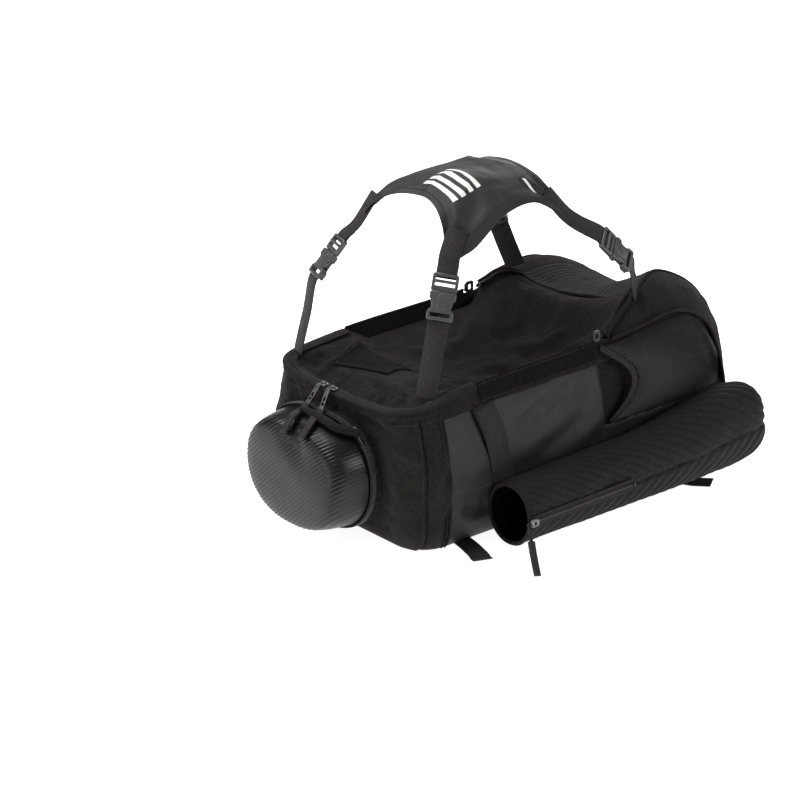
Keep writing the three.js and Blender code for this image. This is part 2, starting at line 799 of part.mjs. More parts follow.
// Flap over the headgear space.
// p runs from the top end to the bottom end, and q from the near to the far side.
// The columns are shares of the dome's half length and half width at the flap's middle and at its tips.
const flapEnds = { startTip: -0.755, startMiddle: -0.6, endTip: 0.465, endMiddle: 0.36 };
const domePower = 2.3;
const farTipPull = 18;
const pullSide = 1.6;
const pullTo = new V(-0.6, 0.5, 0.7);
const flapSides = [
  { at: -1, half: 0.6 },
  { at: -0.6, half: 0.72 },
  { at: 0, half: 0.7 },
  { at: 0.5, half: 0.69 },
  { at: 1, half: 0.77 },
];
function flapPoint(u, v, rise) {
  const p = 2 * u - 1;
  const q = 2 * v - 1;
  const start = lerp(flapEnds.startMiddle, flapEnds.startTip, q * q);
  const end = lerp(flapEnds.endMiddle, flapEnds.endTip, q * q);
  const a = lerp(start, end, u);
  const b = q * read(flapSides, 'half', p);
  const height = Math.sqrt(Math.max(1 - Math.hypot(a, b) ** domePower, 0));
  const out = new V(a / domeHalfLength, b / domeHalfWidth, height / domeHalfHeight).normalize();
  const z = domeCentreZ + height * domeHalfHeight;
  const base = new V(domeCentreX + a * domeHalfLength, b * domeHalfWidth, z);
  const pull = farTipPull * ease(1 - pullSide * u) * ease(2 * v - 1);
  return base.addScaledVector(out, rise).addScaledVector(pullTo, pull);
}
addPiece('helmet_flap', 'flap', sheet((u, v) => flapPoint(u, v, clothWall / 2), 14, 12, clothWall));

// Buckles: a socket with a cavity, and a plug with two prongs and a middle blade.
const buckleCorner = 3;
const windowShare = 0.4;
const windowAt = 0.24;
const cavityWidth = 0.76 * buckleWidth;
const cavityThick = 0.58 * buckleThick;
const socketBack = buckleBar + buckleSlot + 2;
function socketGeometry() {
  const outline = roundedOutline(socketLength, buckleWidth, buckleCorner);
  const slotX = -socketLength / 2 + buckleBar + buckleSlot / 2;
  outline.holes.push(slotPath(slotX, buckleSlot, webbingWidth + 1));
  const block = toSolid(plate(outline, buckleThick));
  const depth = socketLength - socketBack + 1;
  const cavity = new THREE.BoxGeometry(depth, cavityWidth, cavityThick);
  cavity.translate(socketLength / 2 + 1 - depth / 2, 0, 0);
  const window = new THREE.BoxGeometry(windowShare * socketLength, buckleWidth + 2, cavityThick);
  window.translate((windowAt - 0.5) * socketLength + socketBack, 0, 0);
  return toGeometry(block.subtract(toSolid(cavity)).subtract(toSolid(window)));
}

const plugCorner = 2;
const barbLength = 6;
const barbStart = 3;
const bladeShare = 0.8;
function plugGeometry() {
  const edge = plugLength / 2;
  const half = buckleWidth / 2;
  const outer = cavityWidth / 2 - seamGap;
  const inner = outer - prongWidth;
  const tip = edge + prongReach;
  const blade = edge + bladeShare * prongReach;
  const upper = [
    [blade, prongWidth / 2],
    [edge, prongWidth / 2],
    [edge, inner],
    [tip - barbLength, inner],
    [tip, inner],
    [tip - barbStart, outer],
    [edge, outer],
    [edge - plugCorner / 2, half],
    [-edge + plugCorner, half],
    [-edge, half - plugCorner],
  ];
  const lower = upper.map(([x, y]) => [x, -y]).reverse();
  const shape = new THREE.Shape([...lower, ...upper].map(([x, y]) => new THREE.Vector2(x, y)));
  shape.holes.push(slotPath(-edge + buckleBar + buckleSlot / 2, buckleSlot, webbingWidth + 1));
  return plate(shape, cavityThick - 2 * seamGap);
}
const socketShape = socketGeometry();
const plugShape = plugGeometry();

// Straps: each runs from a base on the body to a tip of the flap, bowed outwards.
// plugAt is the share of the way, from the base, at which plug and socket meet, and end the end it is at.
// aside is how far the strap faces out to its side, against its end, and lift how far its base is raised.
const topBow = 1;
const farTopBow = 20;
const bottomBow = 22;
const nearBase = 222;
const farBase = 240;
const baseLift = 2;
const farBaseLift = 5.4;
const strapRows = [
  { name: 'a', side: near, end: -1, plugAt: 0.76, bow: topBow, aside: 0.9, lift: baseLift },
  { name: 'b', side: far, end: -1, plugAt: 0.72, bow: farTopBow, aside: 0.35, lift: baseLift },
  { name: 'c', side: near, end: 1, plugAt: 0.55, bow: bottomBow, aside: 1.4, lift: baseLift },
  { name: 'd', side: far, end: 1, plugAt: 0.55, bow: bottomBow, aside: 0.9, lift: farBaseLift },
];
const strapBaseHalf = 106;
const strapOverlap = 0.02;
const webbingLead = 5;
const gussetInner = 0.9;
const bendAt = 0.6;
const aroundMeet = 0.05;

function strapEnds(row) {
  const u = row.end < 0 ? strapOverlap : 1 - strapOverlap;
  const v = row.side < 0 ? strapOverlap : 1 - strapOverlap;
  const tip = flapPoint(u, v, clothWall + webbingWall / 2 + seamGap);
  const onTape = zipRise + (tapeWall + webbingWall) / 2 + seamGap;
  if (row.end < 0) {
    const x = row.side === near ? -nearBase : -farBase;
    return { base: new V(x, row.side * strapBaseHalf, rimZ(x) + onTape + row.lift), tip };
  }
  const crest = gussetPoint(crestStart, gussetInner, row.side);
  const z = crest.z + (clothWall + webbingWall) / 2 + row.lift;
  return { base: new V(crest.x, row.side * crest.y, z), tip };
}

strapRows.forEach((row) => {
  const { base, tip } = strapEnds(row);
  const reach = tip.clone().sub(base);
  const outward = new V(row.end, row.side * row.aside, 0);
  outward.addScaledVector(reach, -outward.dot(reach) / reach.lengthSq()).normalize();
  const onLine = (t) => base.clone().lerp(tip, t).addScaledVector(outward, 4 * row.bow * t * (1 - t));
  const across = reach.clone().cross(outward).normalize();
  const meet = onLine(row.plugAt);
  const along = onLine(row.plugAt + aroundMeet).sub(onLine(row.plugAt - aroundMeet)).normalize();
  const normal = outward.clone().addScaledVector(along, -outward.dot(along)).normalize();
  const socketCentre = meet.clone().addScaledVector(along, -socketLength / 2 - seamGap / 2);
  const plugCentre = meet.clone().addScaledVector(along, plugLength / 2 + seamGap / 2);
  const back = along.clone().negate();
  addPiece(`strap_${row.name}_socket`, 'hardware', placed(socketShape, socketCentre, along, normal));
  addPiece(`strap_${row.name}_plug`, 'hardware', placed(plugShape, plugCentre, back, normal));
  const lowerEnd = meet.clone().addScaledVector(along, -socketLength - seamGap);
  const upperStart = meet.clone().addScaledVector(along, plugLength + seamGap);
  const lead = along.clone().multiplyScalar(webbingLead);
  const lower = [base, base.clone().lerp(lowerEnd, 0.5), lowerEnd.clone().sub(lead), lowerEnd];
  addPiece(`strap_${row.name}_lower`, 'webbing', ribbon(lower, across, webbingWidth, webbingWall, 8));
  const upper = [upperStart, upperStart.clone().add(lead), upperStart.clone().lerp(tip, bendAt), tip];
  addPiece(`strap_${row.name}_upper`, 'webbing', ribbon(upper, across, webbingWidth, webbingWall, 8));
});

// Back: the panel, its pads, and the shoulder straps laid flat under it
const backInset = clothWall;
const backShort = 4;
const backLength = topEndAtFloor + bottomEndAtFloor - 2 * backInset - backShort;
const backMiddle = (bottomEndAtFloor - topEndAtFloor - backShort) / 2;
const backOutline = roundedOutline(backLength, 2 * (floorHalf - backInset), topCorner - backInset);
const backPlate = plate(backOutline, clothWall, 6);
addPiece('back_panel', 'cloth', backPlate.translate(backMiddle, 0, backLift + clothWall / 2));

const middlePad = 240;
const bottomPad = 86;
const padCorner = 14;
const bottomPadX = middlePad / 2 + padGap + bottomPad / 2;
[['middle', middlePad, 0], ['bottom', bottomPad, bottomPadX]].forEach(([name, length, x]) => {
  const pad = plate(roundedOutline(length, 2 * padHalfWidth, padCorner), padThick);
  addPiece(`back_pad_${name}`, 'net', pad.translate(x, 0, padThick / 2));
});

// Shoulder straps: x is a share of topEnd, y of floorHalf. Their webbing runs out under the sleeves.
const strapRoute = [
  { x: -0.8, y: 0.54 },
  { x: -0.68, y: 0.64 },
  { x: -0.5, y: 0.7 },
  { x: -0.2, y: 0.7 },
  { x: 0.16, y: 0.7 },
];
const tailRoute = [
  { x: 0.166, y: 0.7 },
  { x: 0.24, y: 0.72 },
  { x: 0.34, y: 0.9 },
  { x: 0.48, y: 1.25 },
  { x: 0.6, y: 1.62 },
];
const topTailRoute = [
  { x: -0.68, y: 0.94 },
  { x: -0.71, y: 1.2 },
  { x: -0.76, y: 1.48 },
];
sides.forEach(([name, side]) => {
  const laid = (route, height) => {
    const points = route.map((row) => new V(topEnd * row.x, side * floorHalf * row.y, height));
    const line = new THREE.CatmullRomCurve3(points, false, 'centripetal');
    return (width, wall, steps) => sheet((u, v) => {
      const along = line.getTangent(u);
      return line.getPoint(u).add(new V(-along.y, along.x, 0).multiplyScalar((v - 0.5) * width));
    }, steps, 1, wall);
  };
  const padMiddle = seamGap / 2 + strapPadThick / 2;
  const webMiddle = seamGap / 2 + webbingWall / 2;
  const strapPad = laid(strapRoute, padMiddle)(strapPadWidth, strapPadThick, 12);
  addPiece(`shoulder_strap_${name}`, 'cloth', strapPad);
  addPiece(`strap_tail_${name}`, 'webbing', laid(tailRoute, webMiddle)(webbingWidth, webbingWall, 8));
  addPiece(`top_tail_${name}`, 'webbing', laid(topTailRoute, webMiddle)(webbingWidth, webbingWall, 6));
});

// Zip sliders and pulls
function pullRibbon(points, across) {
  return ribbon(points, across, pullWidth, pullThick, 8);
}

const sliderCorner = 2.5;
function slider(centre, along, normal) {
  const outline = roundedOutline(sliderLength, sliderWidth, sliderCorner);
  return placed(plate(outline, sliderThick), centre, along, normal);
}

// Each pull hangs over the case: rimAt and caseAt are places round the rim and the case.
// It clears the case's zip and follows the dome from pullFoot down to pullEnd.
const onCase = caseWall / 2 + pullThick / 2 + 2 * seamGap;
const pullFoot = 0.92;
const pullEnd = 0.76;
const sliderInward = 1;
const pullRows = [
  { name: 'near', rimAt: 0.525, caseAt: 0.285 },
  { name: 'far', rimAt: 0.565, caseAt: 0.25 },
];
pullRows.forEach(({ name, rimAt, caseAt }) => {
  const seat = rimPoint(rimAt, sliderInward, zipRise + (tapeWall + sliderThick) / 2 + seamGap);
  addPiece(`zip_slider_${name}`, 'metal', slider(seat, new V(0, 1, 0), new V(0, 0, 1)));
  const top = seat.clone().add(new V(-sliderWidth / 2 - pullThick, 0, 0));
  const foot = casePoint(caseAt, pullFoot, -onCase);
  const end = casePoint(caseAt, pullEnd, -onCase);
  const rise = caseZipRise + onCase + pullThick + seamGap;
  const edge = new V(-(topEnd + caseZipFrom), foot.y, caseCentreZ + caseOutline(caseAt, rise).z);
  addPiece(`zip_pull_${name}`, 'zip', pullRibbon([top, edge, foot, end], new V(0, 1, 0)));
});
const caseSliderAt = 0.345;
const casePullEnd = 0.47;
const caseRise = caseZipRise + caseWall / 2;
function caseRimPoint(u, rise) {
  return caseRing(u, 0.5, caseZipFrom, caseZipDepth, caseRise + rise);
}
const sliderSeat = caseRimPoint(caseSliderAt, sliderThick / 2 + seamGap);
const sliderBehind = caseRimPoint(caseSliderAt - shortStep, 0);
const sliderAlong = caseRimPoint(caseSliderAt + shortStep, 0).sub(sliderBehind).normalize();
const sliderOut = new V(0, -sliderAlong.z, sliderAlong.y).negate();
addPiece('case_slider', 'metal', slider(sliderSeat, sliderAlong, sliderOut));
const sliderShare = (sliderLength / 2 + 2 * seamGap) / (2 * Math.PI * caseHalfHeight);
addPiece('case_pull', 'zip', pullRibbon([0, 0.5, 1].map((t) => {
  const u = lerp(caseSliderAt + sliderShare, casePullEnd, t);
  return caseRimPoint(u, pullThick / 2 + 2 * seamGap);
}), new V(1, 0, 0)));

// The slide ring at the end of each grip band
const ringHeight = 15;
const ringHole = 5;
const ringCorner = 3;
const ringWall = 4;
const ringSunk = 1;
sides.forEach(([name, side]) => {
  const shape = roundedOutline(ringWidth, ringHeight, ringCorner);
  shape.holes.push(slotPath(0, ringHole, ringHeight - 2 * ringWall));
  const x = bandEnd + ringWidth / 2 + seamGap;
  const z = rimZ(x) + ringHeight / 2 - ringSunk;
  const y = halfWidth(x, z) + seamGap;
  const ring = placed(plate(shape, bandWall), new V(x, side * y, z), new V(1, 0, 0), new V(0, side, 0));
  addPiece(`band_ring_${name}`, 'hardware', ring);
});

export default pack;
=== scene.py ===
import math
import bpy
import numpy as np
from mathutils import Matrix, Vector


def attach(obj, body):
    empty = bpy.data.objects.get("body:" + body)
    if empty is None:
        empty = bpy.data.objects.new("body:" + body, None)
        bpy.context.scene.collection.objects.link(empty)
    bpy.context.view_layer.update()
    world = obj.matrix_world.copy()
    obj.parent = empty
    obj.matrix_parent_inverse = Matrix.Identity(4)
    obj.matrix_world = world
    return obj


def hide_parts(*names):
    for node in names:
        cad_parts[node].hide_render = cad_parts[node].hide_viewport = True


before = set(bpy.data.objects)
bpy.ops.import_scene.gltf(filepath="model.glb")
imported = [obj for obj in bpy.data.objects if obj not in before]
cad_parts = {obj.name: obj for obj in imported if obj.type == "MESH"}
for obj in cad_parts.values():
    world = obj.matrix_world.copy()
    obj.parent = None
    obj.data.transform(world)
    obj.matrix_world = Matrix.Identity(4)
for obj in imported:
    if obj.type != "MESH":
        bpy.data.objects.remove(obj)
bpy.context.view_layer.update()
scene = bpy.context.scene
MM = 0.001

# Sizes in millimetres, as in the solids
TOP, TOP_FLOOR, BOTTOM, BELLY, FLOOR_HALF, RIM_HALF, ARCH_HALF = 265, 247, 276, 140, 125, 116, 130
BELLY_Z, RIM_Z, HUMP_Z, HUMP_HALF, CORNER, SEAM_X, SAG = 90, 192, 242, 82, 40, 214, 48
WEB = 25
RIB_PITCH, HUMP_RIB_PITCH = 4.4, 6.2
# The hidden back of a cloth has one place for this many of its front
BACK_STEP = 4

RIM_LINE = [(-1, .917), (-.58, .974), (.22, 1), (.37, 1.047), (.63, 1.068)]
PIPING = [(0, .217, .998), (.18, .36, 1.047), (.42, .605, 1.068), (.64, .804, .885), (.82, .895, .484),
          (1, .909, .03)]
CREST = [(0, .232, 1.366, .822, .6), (.18, .406, 1.268, .957, .8), (.42, .623, 1, 1, 1),
         (.64, .9, .99, .806, .5), (.82, .996, 1.02, .46, 0), (1, .916, 1.1, .03, 0)]
SAG_LINE = [(-1, .52), (-.81, .34), (-.64, .42), (-.45, .83), (-.19, 1), (.075, .87), (.26, .29), (.42, -.44)]
DOME = [(0, 0, 1), (.3, .4, .99), (.55, .74, .93), (.7, .885, .8), (.8, .945, .56), (1, 1, 0)]
SLEEVE = [(0, .9, .73, 0), (.48, .93, .79, .02), (.72, 1, .92, .06), (.85, 1, .99, .1), (1, 1, 1, .12)]
CAP = [(0, 0, 0), (.25, .52, .04), (.5, .79, .18), (.75, .94, .48), (1, 1, 1)]


# Numbers and tables
def lerp(a, b, t):
    return a + (b - a) * t


def ease(t):
    t = np.clip(t, 0, 1)
    return t * t * (3 - 2 * t)


def read(table, column, at):
    table = np.array(table, float)
    k, y = table[:, 0], table[:, column]
    low, high = np.maximum(np.arange(len(k)) - 1, 0), np.minimum(np.arange(len(k)) + 1, len(k) - 1)
    slope = (y[high] - y[low]) / (k[high] - k[low])
    place = np.clip(at, k[0], k[-1])
    i = np.clip(np.searchsorted(k, place, side="right") - 1, 0, len(k) - 2)
    span = k[i + 1] - k[i]
    t = (place - k[i]) / span
    return ((2 * t**3 - 3 * t**2 + 1) * y[i] + (t**3 - 2 * t**2 + t) * span * slope[i]
            + (3 * t**2 - 2 * t**3) * y[i + 1] + (t**3 - t**2) * span * slope[i + 1])


LATTICE = np.random.RandomState(11).rand(256, 256) * 2 - 1


def noise(x, y, seed=0):
    x, y = np.asarray(x) + 37.7 * seed, np.asarray(y) + 91.3 * seed
    i, j = np.floor(x).astype(int), np.floor(y).astype(int)
    fx, fy = x - i, y - j
    sx, sy = fx**3 * (fx * (fx * 6 - 15) + 10), fy**3 * (fy * (fy * 6 - 15) + 10)
    at = lambda a, b: LATTICE[(j + b) % 256, (i + a) % 256]
    return lerp(lerp(at(0, 0), at(1, 0), sx), lerp(at(0, 1), at(1, 1), sx), sy)


def fbm(x, y, seed=0, octaves=3):
    return sum(noise(x * 2**k, y * 2**k, seed + k) / 2**k for k in range(octaves))


def ridges(x, y, seed=0):
    return 1 - 2 * np.abs(noise(x, y, seed)) ** 0.8


def near_line(P, line):
    """The distance of each point to a line of points, and the share of the way along it."""
    line = np.array(line, float)
    best = np.full(P.shape[:-1], 1e9)
    share = np.zeros(P.shape[:-1])
    steps = np.linalg.norm(np.diff(line, axis=0), axis=1)
    starts = np.concatenate([[0], np.cumsum(steps)])
    for a, b, start, length in zip(line[:-1], line[1:], starts, steps):
        t = np.clip(((P - a) @ (b - a)) / length**2, 0, 1)
        gap = np.linalg.norm(P - a - t[..., None] * (b - a), axis=-1)
        share = np.where(gap < best, (start + t * length) / starts[-1], share)
        best = np.minimum(gap, best)
    return best, share


def folds(P, rows):
    """Relief of folds: each row is (line, width, height) or, for one that doesn't taper, with 0 added."""
    total = np.zeros(P.shape[:-1])
    for line, width, height, *taper in rows:
        gap, share = near_line(P, line)
        fade = ease(np.minimum(share, 1 - share) / 0.3 + 0.12) if not taper else 1
        total += height * fade * np.exp(-(gap / width) ** 2)
    return total


# Surfaces of the body
def rim_z(x):
    """Height of the rim along the side."""
    return RIM_Z * read(RIM_LINE, 1, x / TOP)


def rim_around(x, y):
    on_end = ease((CORNER - TOP - x) / CORNER + 0.35)
    return rim_z(x) - 8 * on_end * np.maximum(1 - (y / RIM_HALF) ** 2, 0)


def half_width(x, z):
    """Half of the body's width at a place along it and a height."""
    top = lerp(RIM_HALF, ARCH_HALF, ease((x / TOP - .15) / .23))
    low, high = np.clip(z / BELLY_Z, 0, 1), np.clip((z - BELLY_Z) / (RIM_Z - BELLY_Z), 0, 1.1)
    foot = lerp(FLOOR_HALF, BELLY, 1 - (1 - low) ** 8)
    return np.where(low < 1, foot, lerp(BELLY, top, high**1.6)) - .064 * BELLY * ease((x / TOP - .64) / .3)


def stack(*parts):
    return np.stack(np.broadcast_arrays(*parts), axis=-1).astype(float)


def piping(s):
    """The corded edge between side panel and gusset, from the rim to the floor."""
    x, z = BOTTOM * read(PIPING, 1, s), RIM_Z * read(PIPING, 2, s)
    return stack(x, half_width(x, z), z)


def crest(s, side):
    """The edge between gusset and hump."""
    x, z = BOTTOM * read(CREST, 1, s), HUMP_Z * read(CREST, 3, s)
    settle = 36 * ease(4 * s) * ease(1.6 * (z - BELLY_Z) / HUMP_Z) * (side > 0)
    return stack(x, HUMP_HALF * read(CREST, 2, s), z - settle)


def end_outline(u, z, start):
    """Round the top end at a height, from one side's seam to the other's."""
    half = half_width(-start, z)
    face = lerp(TOP_FLOOR, TOP, 1 - (1 - np.clip(z / BELLY_Z, 0, 1)) ** 8)
    straight, turn = face - CORNER - start, CORNER * math.pi / 2
    d = np.minimum(u, 1 - u) * (2 * (straight + turn) + 2 * (half - CORNER))
    angle = np.clip((d - straight) / CORNER, 0, math.pi / 2)
    x = np.where(d < straight, -start - d, CORNER - face - CORNER * np.sin(angle))
    y = half - CORNER + CORNER * np.cos(angle) - np.maximum(d - straight - turn, 0)
    return stack(x, np.where(u < .5, -1, 1) * y, z)


def rim_point(u, inward, rise, start=158):
    spot = end_outline(u, BELLY_Z + 0 * u, start)
    z = rim_around(spot[..., 0], spot[..., 1])
    edge = end_outline(u, z, start)
    step = end_outline(np.minimum(u + .002, 1), z, start) - end_outline(np.maximum(u - .002, 0), z, start)
    inside = stack(step[..., 1], -step[..., 0], 0 * u)
    inside /= np.linalg.norm(inside, axis=-1, keepdims=True)
    edge = edge + inside * (inward if np.ndim(inward) == 0 else inward[..., None])
    edge[..., 2] = z + rise
    return edge


# Meshes
def unit(v):
    return v / np.maximum(np.linalg.norm(v, axis=-1, keepdims=True), 1e-9)


def normals(P, wrap=False):
    along = np.roll(P, -1, 1) - np.roll(P, 1, 1) if wrap else np.gradient(P, axis=1)
    return unit(np.cross(along, np.gradient(P, axis=0)))


def quads(rows, columns, wrap=False):
    k = np.arange(rows * columns).reshape(rows, columns)
    if wrap:
        k = np.hstack([k, k[:, :1]])
    return np.stack([k[:-1, :-1], k[:-1, 1:], k[1:, 1:], k[1:, :-1]], -1).reshape(-1, 4)


def spread_out(count, step, wrap=False):
    """Every few places along a border of a grid, and its last."""
    last = count if wrap else count - 1
    return np.unique(np.append(np.arange(0, last, step), last))


def border_faces(front, back, at):
    """Triangles from a fine border to the coarser one behind it, whose points lie at places along it."""
    middle, place = (at[:-1] + at[1:]) / 2, np.arange(len(front) - 1) + .5
    fans = np.stack([front[:-1], back[np.searchsorted(middle, place)], front[1:]], -1)
    joins = np.stack([front[np.searchsorted(place, middle, side="right")], back[:-1], back[1:]], -1)
    return np.vstack([fans, joins])


class Soup:
    """Vertices, faces and cloth coordinates of one object, gathered piece by piece, in millimetres."""

    def __init__(self):
        self.verts, self.uvs, self.faces, self.kinds, self.count = [], [], [], [], 0

    def add(self, verts, faces, uv=None, kind=0):
        verts = np.asarray(verts, float).reshape(-1, 3)
        self.verts.append(verts)
        self.uvs.append(np.asarray(uv, float).reshape(-1, 2) if uv is not None else verts[:, :2] * MM)
        faces = [faces] if isinstance(faces, np.ndarray) else faces
        for group in faces:
            self.faces.append(np.asarray(group) + self.count)
            self.kinds.append(np.broadcast_to(kind, len(group)) if np.ndim(kind) < 2 else kind)
        self.count += len(verts)

    def slab(self, P, wall, wrap=False, inside=(0, 0, 100), kind=0, kinds=None, thin=1.0):
        """Cloth of even thickness over a grid of points, facing away from inside."""
        N = normals(P, wrap)
        flip = np.sum(N * (P - np.array(inside))) < 0
        N = -N if flip else N
        rows, columns = P.shape[:2]
        edge = np.ones((rows, columns, 1))
        edge[0], edge[-1] = thin, thin
        front, back = P + N * wall / 2 * edge, P - N * wall / 2 * edge
        step = np.linalg.norm(np.diff(P, axis=1), axis=-1)
        u = np.concatenate([np.zeros((rows, 1)), np.cumsum(step, 1)], 1)
        step = np.linalg.norm(np.diff(P, axis=0), axis=-1)
        v = np.concatenate([np.zeros((1, columns)), np.cumsum(step, 0)], 0)
        uv = np.stack([u - u[:, columns // 2:columns // 2 + 1], v], -1) * MM
        down, along = spread_out(rows, BACK_STEP), spread_out(columns, BACK_STEP, wrap)
        size, small = rows * columns, (len(down), len(along) - wrap)
        k = np.arange(size).reshape(rows, columns)
        b = size + np.arange(small[0] * small[1]).reshape(small)
        if wrap:
            k, b = np.hstack([k, k[:, :1]]), np.hstack([b, b[:, :1]])
        lips = [border_faces(k[0], b[0], along), border_faces(k[-1], b[-1], along)[:, ::-1]]
        if not wrap:
            lips += [border_faces(k[:, 0], b[:, 0], down)[:, ::-1], border_faces(k[:, -1], b[:, -1], down)]
        groups = [quads(rows, columns, wrap), quads(*small, wrap)[:, ::-1] + size, *lips]
        if flip:
            groups = [g[:, ::-1] for g in groups]
        start, at = self.count, np.ix_(down, along[:small[1]])
        self.verts += [front.reshape(-1, 3), back[at].reshape(-1, 3)]
        self.uvs += [uv.reshape(-1, 2), uv[at].reshape(-1, 2)]
        for n, group in enumerate(groups):
            self.faces.append(group + start)
            chosen = kind if kinds is None or n else (kinds[:-1] if wrap else kinds[:-1, :-1]).ravel()
            self.kinds.append(np.broadcast_to(chosen, len(group)))
        self.count += size + small[0] * small[1]

    def hollow(self, outer, inner, down, along, uv, kind=0, inner_kind=0):
        """A form with one open mouth at its last row, fine outside and coarser inside."""
        rows, columns = outer.shape[:2]
        rings, sides = inner.shape[:2]
        size = rows * columns
        fans = []
        for first, count in ((0, columns), (size, sides)):
            ring = first + np.arange(count)
            fans.append(np.stack([0 * ring[1:-1] + first, ring[1:-1], ring[2:]], -1))
        mouth, back = np.append(np.arange(columns), 0) + size - columns, np.append(np.arange(sides), 0)
        lips = border_faces(mouth, back + size + (rings - 1) * sides, along)
        groups = [quads(rows, columns, True), quads(rings, sides, True)[:, ::-1] + size,
                  fans[0][:, ::-1], fans[1],
                  lips[:, ::-1]]
        A, B = outer[rows // 2, 1] - outer[rows // 2, 0], outer[rows // 2 + 1, 0] - outer[rows // 2, 0]
        if np.cross(A, B) @ (outer[rows // 2, 0] - outer[rows // 2].mean(0)) < 0:
            groups = [g[:, ::-1] for g in groups]
        start = self.count
        self.verts += [outer.reshape(-1, 3), inner.reshape(-1, 3)]
        self.uvs += [uv.reshape(-1, 2), inner[..., :2].reshape(-1, 2) * MM]
        for group, inside in zip(groups, (0, 1, 0, 1, 0)):
            self.faces.append(group + start)
            self.kinds.append(np.full(len(group), inner_kind if inside else kind))
        self.count += size + rings * sides

    def sweep(self, line, across, up, section, closed=False, kind=0, scale=None):
        """A section carried along a line; across and up give its two directions at each point."""
        line, section = np.asarray(line, float), np.asarray(section, float)
        n, m = len(line), len(section)
        across, up = np.broadcast_to(across, (n, 3)), np.broadcast_to(up, (n, 3))
        scale = np.ones(n) if scale is None else np.asarray(scale)
        P = (line[:, None] + across[:, None] * (section[:, 0] * scale[:, None])[..., None]
             + up[:, None] * (section[:, 1] * scale[:, None])[..., None])
        along = np.concatenate([[0], np.cumsum(np.linalg.norm(np.diff(line, axis=0), axis=1))])
        round_ = np.concatenate([[0], np.cumsum(np.linalg.norm(np.diff(section, axis=0), axis=1))])
        uv = stack(along[:, None] + 0 * round_, section[:, 0] + 0 * along[:, None]) * MM
        body = quads(n, m, True)
        if closed:
            k = np.arange(m)
            last = (n - 1) * m
            body = np.vstack([body, np.stack([last + k, last + np.roll(k, -1), np.roll(k, -1), k], -1)])
        groups = [body]
        if not closed:
            ring = np.arange(m)
            fan = np.stack([np.zeros(m - 2, int), ring[2:], ring[1:-1]], -1)
            groups += [fan, fan[:, ::-1] + (n - 1) * m]
        turn = np.cross(across[0], up[0]) @ (line[1] - line[0])
        area = np.sum(section[:, 0] * np.roll(section[:, 1], -1) - section[:, 1] * np.roll(section[:, 0], -1))
        if turn * area < 0:
            groups = [g[:, ::-1] for g in groups]
        self.add(P, [g[:, ::-1] for g in groups], uv, kind)

    def tube(self, line, radius, segments=8, closed=False, kind=0, scale=None):
        line = np.asarray(line, float)
        angle = 2 * math.pi * np.arange(segments) / segments
        across, up = transported(line, closed)
        self.sweep(line, across, up, radius * stack(np.cos(angle), np.sin(angle)), closed, kind, scale)

    def web(self, line, across, width, wall, kind=0, scale=None):
        """Webbing: a flat section with softened edges along a line."""
        line = np.asarray(line, float)
        across = unit(np.broadcast_to(np.asarray(across, float), line.shape))
        tangent = unit(np.gradient(line, axis=0))
        across = unit(across - tangent * np.sum(across * tangent, -1, keepdims=True))
        w, t, b = width / 2, wall / 2, min(wall * .45, .9)
        section = [(-w, -t + b), (-w + b, -t), (w - b, -t), (w, -t + b), (w, t - b), (w - b, t), (-w + b, t),
                   (-w, t - b)]
        self.sweep(line, across, np.cross(across, tangent), section, kind=kind)

    def boxes(self, centres, x, y, z, size, kind=0):
        """Small blocks with cut corners, one at each centre, along three directions."""
        centres = np.asarray(centres, float).reshape(-1, 3)
        n = len(centres)
        axes = [np.broadcast_to(np.asarray(a, float), (n, 3)) for a in (x, y, z)]
        half = np.array(size) / 2
        corners = []
        for k, taper in ((-1, 1), (1, .62)):
            for i, j in ((-1, -1), (1, -1), (1, 1), (-1, 1)):
                corners.append(centres + axes[0] * i * half[0] * taper + axes[1] * j * half[1] * taper
                               + axes[2] * k * half[2])
        block = np.array([(0, 3, 2, 1), (4, 5, 6, 7), (0, 1, 5, 4), (1, 2, 6, 5), (2, 3, 7, 6), (3, 0, 4, 7)])
        faces = (np.arange(n)[:, None, None] * 8 + block).reshape(-1, 4)
        if np.dot(np.cross(axes[0][0], axes[1][0]), axes[2][0]) < 0:
            faces = faces[:, ::-1]
        self.add(np.stack(corners, 1), faces, None, kind)

    def stitches(self, line, up, pitch=3.4, length=2.5, width=.7, kind=0):
        """A row of thread stitches along a line, standing on the cloth under it."""
        if np.sum(np.linalg.norm(np.diff(line, axis=0), axis=1)) < 2 * pitch:
            return
        points, tangents, ups = spaced(line, pitch, up)
        size = (length, width, width * .8)
        self.boxes(points + ups * width * .22, tangents, np.cross(ups, tangents), ups, size, kind)

